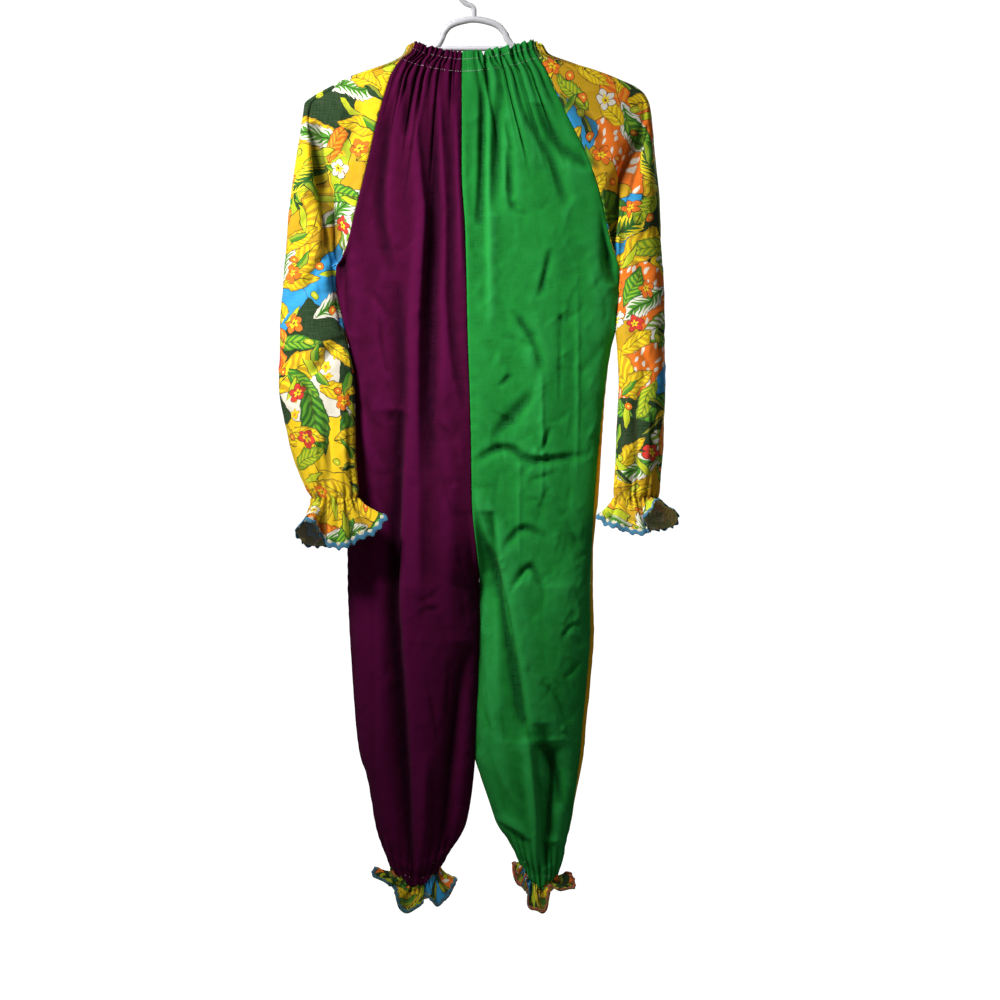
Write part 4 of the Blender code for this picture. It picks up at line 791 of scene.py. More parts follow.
def sleeve_sheet(side):
    """A raglan sleeve from the neck to the wrist elastic."""
    share = np.linspace(0, 1, SLEEVE_COLUMNS // 2 + 1)
    levels, flats, rings = [], [], 0
    above = levels_between(NECK_Z, UNDERARM_Z)[:-1]
    below = levels_between(UNDERARM_Z, WRIST_Z)
    for z in np.concatenate([above, below]):
        if z > UNDERARM_Z:
            curve, seam_at, groove_at = yoke_curve(side, z)
            middle_y, blend = 0.0, 0.0
        else:
            curve, seam_at, groove_at = arm_curve(side, z), 0.0, 0.0
            middle_y = read(ARM[side], "middle_y", z)
            blend = ease((UNDERARM_Z - z) / SLEEVE_EVEN_RUN)
            rings += 1
        span = lengths(curve)[-1] - seam_at
        first = max(groove_at - seam_at, SLEEVE_GROOVE_MIN,
                    blend * span * SLEEVE_GROOVE_SHARE)
        first = min(first, 0.8 * span)
        stations = seam_at + np.interp(share, [0, SLEEVE_GROOVE_SHARE, 1],
                                       [0, first, span])
        half = divide(curve, stations)
        levels.append(z)
        flats.append(np.vstack([half, mirrored(half[:-1], middle_y)[::-1]]))
    return Sheet(side, "sleeve", levels, flats, rings)


# ----------------------------------------------------------- folds on the sheets
def fold_field(folds, x, z, power=2.0, ends=0.6):
    """How far a table of folds moves the cloth at each point."""
    total = np.zeros_like(x)
    for fold in folds:
        path = spline(fold.path)
        upright = abs(path[-1, 1] - path[0, 1]) >= abs(path[-1, 0] - path[0, 0])
        run, off, here, beside = (1, 0, z, x) if upright else (0, 1, x, z)
        order = np.argsort(path[:, run])
        line, middle = path[order, run], path[order, off]
        near = (here > line[0]) & (here < line[-1])
        if not near.any():
            continue
        slope = np.interp(here[near], line, np.gradient(middle, line))
        d = (beside[near] - np.interp(here[near], line, middle)) / np.sqrt(1 + slope ** 2)
        before, after = (fold.left, fold.right) if upright else (fold.right, fold.left)
        wide = np.where(d < 0, before, after)
        t = (here[near] - line[0]) / (line[-1] - line[0])
        total[near] += (fold.depth * np.exp(-np.abs(d / wide) ** power)
                        * np.sin(pi * t) ** ends)
    return total


def turned(x, z, turn):
    """How far points lie along a direction and across it."""
    return x * cos(turn) + z * sin(turn), -x * sin(turn) + z * cos(turn)


def star_field(stars, x, z, seed):
    """Short sharp creases that run out from the middle of each star."""
    random = np.random.default_rng(seed)
    total = np.zeros_like(x)
    for star in stars:
        turns = random.uniform(0, 2 * pi, 5)
        reaches = star.reach * random.uniform(0.5, 1.1, 5)
        depths = star.depth * random.choice([-1.0, 1.0], 5) * random.uniform(0.5, 1, 5)
        for turn, reach, depth in zip(turns, reaches, depths):
            along, across = turned(x - star.x, z - star.z, turn)
            wide = np.where(across < 0, 1.6, 4.0)
            t = np.clip(along / reach, 0, 1)
            total += depth * np.exp(-np.abs(across / wide) ** 1.3) * np.sin(pi * t) ** 0.8
    return total


def crumple_field(s, z, seed, spacing, depth, length):
    """Many faint creases in every direction, one to each patch of cloth."""
    random = np.random.default_rng(seed)
    total = np.zeros_like(s)
    s_low, s_high, z_low, z_high = s.min(), s.max(), z.min(), z.max()
    count = int((s_high - s_low) * (z_high - z_low) / spacing ** 2)
    for _ in range(count):
        s0, z0 = random.uniform(s_low, s_high), random.uniform(z_low, z_high)
        turn = random.normal(pi / 2, 0.55)
        half = length * random.uniform(0.4, 1.2) / 2
        size = depth * random.uniform(0.3, 1.0) * random.choice([-1.0, 1.0])
        sharp, soft = random.uniform(1.4, 2.6), random.uniform(4.0, 9.0)
        near = (np.abs(s - s0) < half + 20) & (np.abs(z - z0) < half + 20)
        if not near.any():
            continue
        along, across = turned(s[near] - s0, z[near] - z0, turn)
        wide = np.where(across < 0, sharp, soft)
        t = np.clip(np.abs(along) / half, 0, 1)
        total[near] += size * np.exp(-np.abs(across / wide) ** 1.4) * np.cos(pi / 2 * t) ** 1.5
    return total


def swell_field(s, z, seed, depth):
    """Broad, slow, mostly upright swells in the hanging cloth."""
    random = np.random.default_rng(seed)
    total = np.zeros_like(s)
    for _ in range(9):
        across, down = random.uniform(0.02, 0.09), random.uniform(-0.012, 0.012)
        total += np.sin(across * s + down * z + random.uniform(0, 2 * pi))
    return total * depth / 3.0


def arches(share, valleys):
    """Rounded gathers with sharp valleys between them: 0 in a valley, 1 on top."""
    marks = np.array([0.0] + list(valleys) + [1.0])
    i = np.clip(np.searchsorted(marks, share, side="right") - 1, 0, len(marks) - 2)
    t = (share - marks[i]) / (marks[i + 1] - marks[i])
    return np.sin(pi * np.clip(t, 0, 1)) ** 0.7


def uneven(count, seed, jitter=0.25):
    """The places of count valleys round a piece, unevenly spaced."""
    random = np.random.default_rng(seed)
    return (np.arange(1, count) + random.uniform(-jitter, jitter, count - 1)) / count


def add_neck(sheet, valleys, front):
    """The gathered casing, its notched edge, and the gathers that run down."""
    share = sheet.share if front or sheet.part == "sleeve" else 1 - sheet.share
    below = NECK_Z - sheet.z
    here = [0.0] + [v.share for v in valleys] + [1.0]
    leans = np.array([0.0] + [v.lean for v in valleys] + [0.0])
    straight = share.copy()
    for k in range(len(share)):
        swing = ease(below[k, 0] / LEAN_RUN) - LEAN_START
        straight[k] = np.interp(share[k], np.array(here) + leans * swing, here)
    valley = 1 - arches(straight, here[1:-1])
    runs, depths = ([end] + [getattr(v, name) for v in valleys] + [end] for end, name in
                    ((SEAM_VALLEY_RUN, "run"), (SEAM_VALLEY_DEPTH, "depth")))
    run, deep = np.interp(straight, here, runs), np.interp(straight, here, depths)
    # deepest between the two rows of stitches, fading out far below them
    high = casing_height(sheet, front)
    casing = 0.86 + 0.14 * np.cos(4 * pi * below / high)
    fade = np.where(below < high, casing, ease(1 - (below - high) / run))
    on_sleeve = sheet.part == "sleeve"
    size = SLEEVE_GATHER if on_sleeve else lerp(SEAM_GATHER, PANEL_GATHER,
                                                ease(sheet.edge / 9))
    gather = size * (GATHER_TOP - valley * deep) * fade
    # they stay clear of the hanger inside
    gather = np.maximum(gather, NECK_CLEAR - np.abs(sheet.y) - np.minimum(sheet.depth, 0))
    sheet.depth += np.minimum(gather, GATHER_TOP * size)
    # the gathers lie over to one side or the other
    sheet.slip += 0.75 * np.sin(2 * pi * straight * 3.1) * np.abs(gather) * ease(
        sheet.edge / 8)
    # a second, finer set of puckers in the casing itself
    fine = arches(straight, uneven(SLEEVE_PUCKERS if on_sleeve else PUCKERS, 5, 0.35))
    sheet.depth += PUCKER_DEPTH * (fine - 0.6) * ease(1 - below / PUCKER_RUN)
    # the top edge is a turned fold, and its gathers stand up unevenly
    sheet.depth -= TURNED_EDGE * np.exp(-(below / 1.8) ** 2)
    for v in valleys:
        dent = np.exp(-np.abs((share - v.share) / 0.022) ** 1.4)
        sheet.rise -= v.notch * dent * ease(1 - below / 20)
    sheet.rise += ((fine - 0.5) * 1.6 + 1.6 * (0.6 - valley)) * ease(1 - below / 14)
    if on_sleeve:
        sheet.rise -= SLEEVE_SAG * np.sin(pi * sheet.share) ** 0.8 * ease(1 - below / 40)


def casing_height(sheet, front):
    """How far the neck's casing reaches down at each place across."""
    if sheet.part == "sleeve":
        return CASING_LOW + 0 * sheet.share
    share = sheet.share if front else 1 - sheet.share
    return lerp(CASING_HIGH, CASING_LOW, share ** 1.3)


def neck_rise(sheet):
    """The dip of the neck edge at the centre and its peaks at the raglan seams."""
    fade = np.clip(1 - (NECK_Z - sheet.z) / NECK_FADE, 0, 1)
    rise = np.zeros_like(sheet.x)
    centre = BODY[0].centre
    for k, z in enumerate(sheet.levels):
        if z <= NECK_Z - NECK_FADE:
            break
        seam = SIDES[sheet.side] * read(YOKE[sheet.side], "seam", z)
        t = np.minimum(np.abs(sheet.x[k] - centre) / abs(seam - centre), 1)
        dip = np.where(sheet.y[k] < 0, NECK_DIP, BACK_NECK_DIP)
        rise[k] = lerp(dip, NECK_PEAK[sheet.side], t ** NECK_CURVE)
    return rise * fade


def ankle_rise(sheet):
    """How far the ends of a leg's lowest rows ride up."""
    rise = np.zeros_like(sheet.x)
    lift_in, lift_out = ANKLE_LIFT[sheet.side]
    for k, z in enumerate(sheet.levels):
        if z > CROTCH_Z:
            continue
        inner, out = (read(LEG[sheet.side], name, z) for name in ("inner", "out"))
        t = (sheet.x[k] - inner) / (out - inner)
        rise[k] = (lift_in * np.maximum(0, 1 - 2 * t) ** LIFT_CURVE
                   + lift_out * np.maximum(0, 2 * t - 1) ** LIFT_CURVE)
    return rise * ease(1 - (sheet.z - ANKLE_Z) / ANKLE_FADE)


def add_seams(sheet):
    """Cloth rolls in at its seams and is a little puckered beside them."""
    closed = sheet.z <= UNDERARM_Z
    if sheet.part != "sleeve":
        closed = (sheet.z <= CROTCH_START_Z) & ((sheet.share < 0.5)
                                                == (sheet.part == "front"))
    roll = np.where(closed, 0.0, 1.0)
    sheet.depth -= 0.7 * roll * np.exp(-(sheet.edge / 2.0) ** 2)
    ripple = np.sin(2 * pi * sheet.z / SEAM_PITCH + 2.6 * np.sin(sheet.z / 31))
    strength = 0.16 + 0.16 * np.sin(sheet.z / 47 + sheet.sign)
    sheet.depth += strength * roll * ripple * np.exp(-(sheet.edge / 9) ** 2)


def add_elastic(sheet, level, elastic, seed):
    """Sharp gathers above and below an elastic, which fade up the cloth."""
    count, size, run = elastic.count, elastic.size, elastic.run
    away = np.abs(sheet.z - level)
    random = np.random.default_rng(seed + elastic.seed)
    arch = arches(sheet.share, uneven(count, seed + elastic.seed, 0.42))
    reach = run * (0.55 + 0.9 * np.interp(sheet.share, np.linspace(0, 1, count),
                                          random.uniform(0, 1, count)))
    fade = np.clip(1 - away / reach, 0, 1) ** 1.5
    pinch = 1 - 0.45 * np.exp(-(away / 4) ** 2)
    deep = 0.5 + np.interp(sheet.share, np.linspace(0, 1, 9), random.uniform(0, 1, 9))
    sheet.depth += size * deep * (arch - 0.6) * fade * pinch


def body_folds(sheet, middle_y=0.0):
    """The named folds, creases and stars, front and back, on one sheet."""
    ahead = sheet.y - middle_y < 0
    front = (fold_field(FRONT_FOLDS, sheet.x, sheet.z)
             + fold_field(POCKETS, sheet.x, sheet.z, 1.35, 0.45)
             + fold_field(CREASES, sheet.x, sheet.z, 1.3, 0.7)
             + star_field(STARS, sheet.x, sheet.z, 11))
    back = fold_field(BACK_FOLDS, sheet.x, sheet.z)
    facing = np.abs(sheet.ny) ** 1.5 * ease(sheet.edge / 7)
    sheet.depth += facing * np.where(ahead, front, back)


def add_crumples(sheet, crumples, seed, swell=0.0):
    """Faint creases, and slow swells under them, clear of the casing and the seams."""
    quiet = ease((QUIET_TOP - sheet.z) / QUIET_FADE) * ease(sheet.edge / QUIET_EDGE)
    if swell:
        sheet.depth += quiet * swell_field(sheet.s, sheet.z, seed, swell)
    for i, crumple in enumerate(crumples):
        sheet.depth += quiet * crumple_field(sheet.s, sheet.z, seed + i, *crumple)


def finish_panel(sheet, name, seed):
    """All the folds of a front or a back."""
    body_folds(sheet)
    add_neck(sheet, NECK_VALLEYS[name], sheet.part == "front")
    sheet.rise += neck_rise(sheet) + ankle_rise(sheet)
    add_crumples(sheet, PANEL_CRUMPLES, seed, PANEL_SWELL)
    add_seams(sheet)
    for elastic in ANKLE_ELASTIC:
        add_elastic(sheet, ANKLE_Z, elastic, seed)
    jag = (0.5 - arches(sheet.share, uneven(19, seed + 3, 0.4))
           + 0.7 * np.sin(2 * pi * 4.5 * sheet.share + seed))
    sheet.rise += 3.2 * jag * ease((HEM_Z + 9 - sheet.z) / 9)


def finish_sleeve(sheet, seed):
    """All the folds of a sleeve down to its wrist elastic."""
    middle_y = np.array([read(ARM[sheet.side], "middle_y", z) if z <= UNDERARM_Z else 0.0
                         for z in sheet.levels])[:, None]
    body_folds(sheet, middle_y)
    add_neck(sheet, NECK_VALLEYS["sleeve"], True)
    sheet.rise += neck_rise(sheet)
    add_crumples(sheet, SLEEVE_CRUMPLES, seed)
    add_seams(sheet)
    for elastic in WRIST_ELASTIC:
        add_elastic(sheet, WRIST_Z, elastic, seed)


# ----------------------------------------------------------------------- ruffles
def closed_curve(waves, t):
    """A smooth closed curve through the waves; t goes from 0 to 1 round it."""
    n = len(waves)
    t %= 1.0
    i = max(k for k in range(n) if waves[k].place <= t)
    end = waves[i + 1].place if i + 1 < n else 1.0
    f = (t - waves[i].place) / (end - waves[i].place)
    a, b, c, d = (np.array(waves[(i + k) % n][1:], float) for k in (-1, 0, 1, 2))
    return 0.5 * (2 * b + (c - a) * f + (2 * a - 5 * b + 4 * c - d) * f * f
                  + (3 * b - a - 3 * c + d) * f ** 3)


def facings(points, sign):
    """Outward normals of a grid of points whose first and last columns meet."""
    across = np.gradient(points, axis=1)
    across[:, 0] = across[:, -1] = (points[:, 1] - points[:, -2]) / 2
    along = np.gradient(points, axis=0)
    return unit(np.cross(along, across) * sign)


def ruffle(ring, level, waves, rows, sign, seed):
    """Rows from an elastic's ring out to the waves of a ruffle's loose edge."""
    middle = np.append(ring[:-1, :2].mean(axis=0), level)
    place = np.linspace(0, 1, len(ring))
    edge = middle + np.array([closed_curve(waves, t) for t in place])
    t = (np.arange(1, rows + 1) / rows)[:, None, None]
    flare = np.concatenate([t ** RUFFLE_FLARE, t ** RUFFLE_FLARE, t], axis=2)
    made = ring + (edge - ring) * flare
    t = t[:, :, 0]
    random = np.random.default_rng(seed)
    wander = 0.6 * np.sin(2 * pi * (place * 3 + random.uniform()))
    near = (np.sin(2 * pi * RUFFLE_GATHERS * place + 3 * wander) * np.exp(-t / 0.3)
            * (1 - t) * RUFFLE_DEPTH)
    flute = (np.sin(2 * pi * RUFFLE_FLUTES * place + 2 * wander) * np.sin(pi * t * 0.5)
             * RUFFLE_DEPTH)
    curl = random.uniform(-1, 1, 7)
    edge_curl = np.interp(place, np.linspace(0, 1, 8), np.append(curl, curl[0]))
    fine = crumple_field(place * 300 + 0 * t, t * 50 + 0 * place, seed, 15, 1.3, 24)
    depth = near + flute + 1.6 * edge_curl * t ** 3 + fine * np.sin(pi * t)
    depth[:, -1] = depth[:, 0]
    made = made + facings(made, sign) * depth[:, :, None]
    made[:, -1] = made[:, 0]
    return made


# ------------------------------------------------------------------ mesh of cloth
def link(name, mesh):
    """A finished mesh as an object at the origin."""
    item = bpy.data.objects.new(name, mesh)
    bpy.context.scene.collection.objects.link(item)
    return item


def cloth_mesh(name, points, uv, marks, sign, rings):
    """A grid of cloth points as a mesh; the last rings rows close on themselves."""
    rows, columns = points.shape[:2]
    bm = bmesh.new()
    bmesh.ops.create_grid(bm, x_segments=columns - 1, y_segments=rows - 1, size=1)
    layer = bm.loops.layers.uv.new("cloth")
    crease = bm.verts.layers.float.new("crease")
    spots = {}
    for vert in bm.verts:
        row = round((1 - vert.co.y) / 2 * (rows - 1))
        column = round((vert.co.x + 1) / 2 * (columns - 1))
        spots[vert] = row, column
        vert.co = points[row, column] * MM
        vert[crease] = marks[row, column]
    for face in bm.faces:
        for loop in face.loops:
            loop[layer].uv = uv[spots[loop.vert]] * MM
    if sign < 0:
        bmesh.ops.reverse_faces(bm, faces=bm.faces)
    seam = [vert for vert, (row, column) in spots.items()
            if row >= rows - rings and column in (0, columns - 1)]
    bmesh.ops.remove_doubles(bm, verts=seam, dist=1e-6)
    mesh = bpy.data.meshes.new(name)
    bm.to_mesh(mesh)
    bm.free()
    mesh.shade_smooth()
    return mesh


def thicken(item, thickness, inside=0):
    """Cloth thickness, inwards from the outer face."""
    shell = item.modifiers.new("cloth_thickness", "SOLIDIFY")
    shell.thickness = thickness * MM
    shell.offset = -1
    shell.material_offset = inside


# --------------------------------------------------------------------- materials
def linear(code):
    """An sRGB hex colour as linear red, green, blue and alpha."""
    parts = (int(code[i:i + 2], 16) / 255 for i in (1, 3, 5))
    return (*(v / 12.92 if v <= 0.04045 else ((v + 0.055) / 1.055) ** 2.4
              for v in parts), 1.0)


def add_node(tree, kind, *inputs, out=0, named=None, **settings):
    """One node with its settings and its links; returns one of its outputs.

    An input is a number, a vector, a hex colour, a socket to link, or None to
    leave it; named holds inputs by their names.
    """
    node = tree.nodes.new("ShaderNode" + kind)
    for key, value in settings.items():
        setattr(node, key, value)
    by_name = {socket.identifier: socket for socket in node.inputs}
    chosen = list(zip(node.inputs, inputs))
    chosen += [(by_name[key], value) for key, value in (named or {}).items()]
    for socket, value in chosen:
        if isinstance(value, bpy.types.NodeSocket):
            tree.links.new(value, socket)
        elif isinstance(value, str):
            socket.default_value = linear(value)
        elif value is not None:
            socket.default_value = value
    return node.outputs[out]


def painted(add, under, *coats):
    """A colour with each coat, its share and its colour, laid over it in turn."""
    for share, colour in coats:
        under = add("Mix", data_type="RGBA", out=2,
                    named={"Factor_Float": share, "A_Color": under, "B_Color": colour})
    return under


def new_material(name, roughness, sheen=0.0, ior=1.5):
    """A material with its constants set, its node maker and its shader."""
    material = bpy.data.materials.new(name)
    material.use_nodes = True
    shader = material.node_tree.nodes["Principled BSDF"]
    shader.inputs["Roughness"].default_value = roughness
    shader.inputs["IOR"].default_value = ior
    shader.inputs["Sheen Weight"].default_value = sheen
    shader.inputs["Sheen Roughness"].default_value = 0.5
    return material, partial(add_node, material.node_tree), shader


def dress(shader, add, colour, height=None, strength=0.0, distance=0.0):
    """Gives a shader its colour, and the relief of its surface."""
    links = shader.id_data.links
    links.new(colour, shader.inputs["Base Color"])
    if height is not None:
        bump = add("Bump", named={"Strength": strength, "Distance": distance,
                                  "Height": height})
        links.new(bump, shader.inputs["Normal"])


def cloth_place(add):
    """Millimetres across and down the flat cloth."""
    return add("VectorMath", add("UVMap", uv_map="cloth"), named={"Scale": 1000.0},
               operation="SCALE")


def weave(add, place, thread):
    """Threads both ways, uneven as spun cotton is: height from 0 to 1.

    The real threads are 0.3 mm apart, too fine to show, so they are drawn at the
    given spacing, and the thicker slubs at their real length of 10 to 30 mm.
    """
    heights = []
    for long_way in ((1.0, 0.045, 1.0), (0.045, 1.0, 1.0)):
        stretched = add("VectorMath", place, long_way, operation="MULTIPLY")
        heights.append(add("TexNoise", noise_dimensions="2D",
                           named={"Vector": stretched, "Scale": 1 / thread,
                                  "Detail": 2.0, "Roughness": 0.6}))
    return add("Math", add("Math", heights[0], heights[1], operation="ADD"), 0.5,
               operation="MULTIPLY")


def plain_cotton(name, colour, faded, deep):
    """Plain-woven dyed cotton, washed soft: matt, with a faint bloom of fibres.

    The eye sees slubs running both ways, cloudy dye, ridges of the folds rubbed
    paler, and painted shade down in the folds, where the deep dye is laid.
    """
    material, add, shader = new_material(name, 0.9, 0.015)
    shader.inputs["Specular IOR Level"].default_value = 0.05
    place = cloth_place(add)
    threads = weave(add, place, 0.9)
    clouds = add("TexNoise", noise_dimensions="2D",
                 named={"Vector": place, "Scale": 1 / 38, "Detail": 4.0,
                        "Roughness": 0.6})
    crease = add("Attribute", attribute_name="crease", out=2)
    high = add("MapRange", crease, 0.05, 0.9, 0.0, 0.75)
    # low: painted shade, how far down in a fold a point lies, for laying the deep dye there
    low = add("MapRange", crease, -0.05, -1.25, 0.0, 1.0)
    cloudy = add("MapRange", clouds, 0.35, 0.7, 0.0, 0.3)
    slub = add("MapRange", threads, 0.38, 0.62, 0.0, 0.6)
    # the deep dye laid by low is painted shade in the folds; the clouds and the worn ridges are
    # the cloth's own
    shade = painted(add, colour, (cloudy, deep), (high, faded), (low, deep))
    tint = painted(add, shade, (slub, faded))
    fine = add("TexNoise", noise_dimensions="2D",
               named={"Vector": place, "Scale": 1 / 7, "Detail": 3.0,
                      "Roughness": 0.7})
    height = add("Math", threads, add("Math", fine, 0.8, operation="MULTIPLY"),
                 operation="ADD")
    dress(shader, add, painted(add, shade, (0.45, tint)), height, 0.3, 0.0006)
    return material


def strew(add, place, strewn):
    """The place in its own motif of each point, turned at random, and its chances."""
    moved = add("VectorMath", place, strewn.shift, operation="ADD")
    middle = add("TexVoronoi", voronoi_dimensions="2D", feature="F1", out=2,
                 named={"Vector": moved, "Scale": 1 / strewn.spacing,
                        "Randomness": strewn.jitter})
    chances = add("SeparateColor", middle.node.outputs["Color"]).node
    own = add("VectorMath", moved, middle, operation="SUBTRACT")
    turn = add("Math", chances.outputs[0], strewn.turn, operation="MULTIPLY")
    own = add("VectorRotate", rotation_type="Z_AXIS",
              named={"Vector": own, "Angle": turn})
    parts = add("SeparateXYZ", own).node
    there = add("Math", chances.outputs[2], strewn.missing, operation="GREATER_THAN")
    return parts.outputs[0], parts.outputs[1], chances.outputs[1], there


def within(add, inside, chance=1.0, more=0.0):
    """1 where a distance inside an edge is above 0, or above minus more."""
    grown = add("Math", inside, more + EDGE_SOFT / 2, operation="ADD")
    share = add("Math", grown, EDGE_SOFT, operation="DIVIDE", use_clamp=True)
    return add("Math", share, chance, operation="MULTIPLY")


def leaf_edge(add, x, y, half, length, teeth=0.0, tooth=6.0):
    """How far inside the edge of a pointed leaf a point lies, and its side veins."""
    off = add("Math", x, operation="ABSOLUTE")
    slant = add("Math", off, y, operation="SUBTRACT")
    vein = add("Math", add("Math", slant, tooth, operation="DIVIDE"), operation="FRACT")
    along = add("Math", add("Math", y, length, operation="DIVIDE"), 2.0,
                operation="POWER")
    reach = add("Math", 1.0, along, operation="SUBTRACT")
    wide = add("Math", half, add("Math", vein, teeth, operation="MULTIPLY"),
               operation="SUBTRACT")
    edge = add("Math", reach, wide, operation="MULTIPLY")
    return add("Math", edge, off, operation="SUBTRACT"), vein, off


def petals(add, x, y, least, most):
    """How far inside a five-petalled flower a point lies, its lobes, and its radius."""
    away = add("Math", add("Math", add("Math", x, x, operation="MULTIPLY"),
                           add("Math", y, y, operation="MULTIPLY"), operation="ADD"),
               0.5, operation="POWER")
    turn = add("Math", add("Math", y, x, operation="ARCTAN2"), 2.5, operation="MULTIPLY")
    lobe = add("Math", add("Math", turn, operation="COSINE"), operation="ABSOLUTE")
    wide = add("Math", lobe, most - least, least, operation="MULTIPLY_ADD")
    return add("Math", wide, away, operation="SUBTRACT"), lobe, away


def outlined(add, cloth, edge, there, fill, line="#26300F", width=LINE_WIDTH):
    """A motif printed on the cloth, with its drawn line round it."""
    return painted(add, cloth, (within(add, edge, there, width), line),
                   (within(add, edge, there), fill))


def striped_leaves(add, cloth, place, strewn, size, dyes):
    """Pointed leaves in two tones that change over at the rib and the side veins.

    size is half their width, half their length and the width of a stripe.
    """
    x, y, kind, there = strew(add, place, strewn)
    half, length, stripe = size
    edge, vein, off = leaf_edge(add, x, y, half, length, 1.6, stripe)
    light, dark = (painted(add, tones[0],
                           *((add("Math", kind, chance, operation="GREATER_THAN"), tone)
                             for chance, tone in zip(LEAF_CHANCES, tones[1:])))
                   for tones in dyes)
    stroke = add("Math", vein, 0.5, operation="LESS_THAN")
    inner = add("Math", edge, 2.0, operation="GREATER_THAN")
    stroke = add("Math", stroke, inner, operation="MULTIPLY")
    rib = add("Math", off, 0.5, operation="LESS_THAN")
    return outlined(add, cloth, edge, there,
                    painted(add, dark, (stroke, light), (rib, "#5A5A12")))


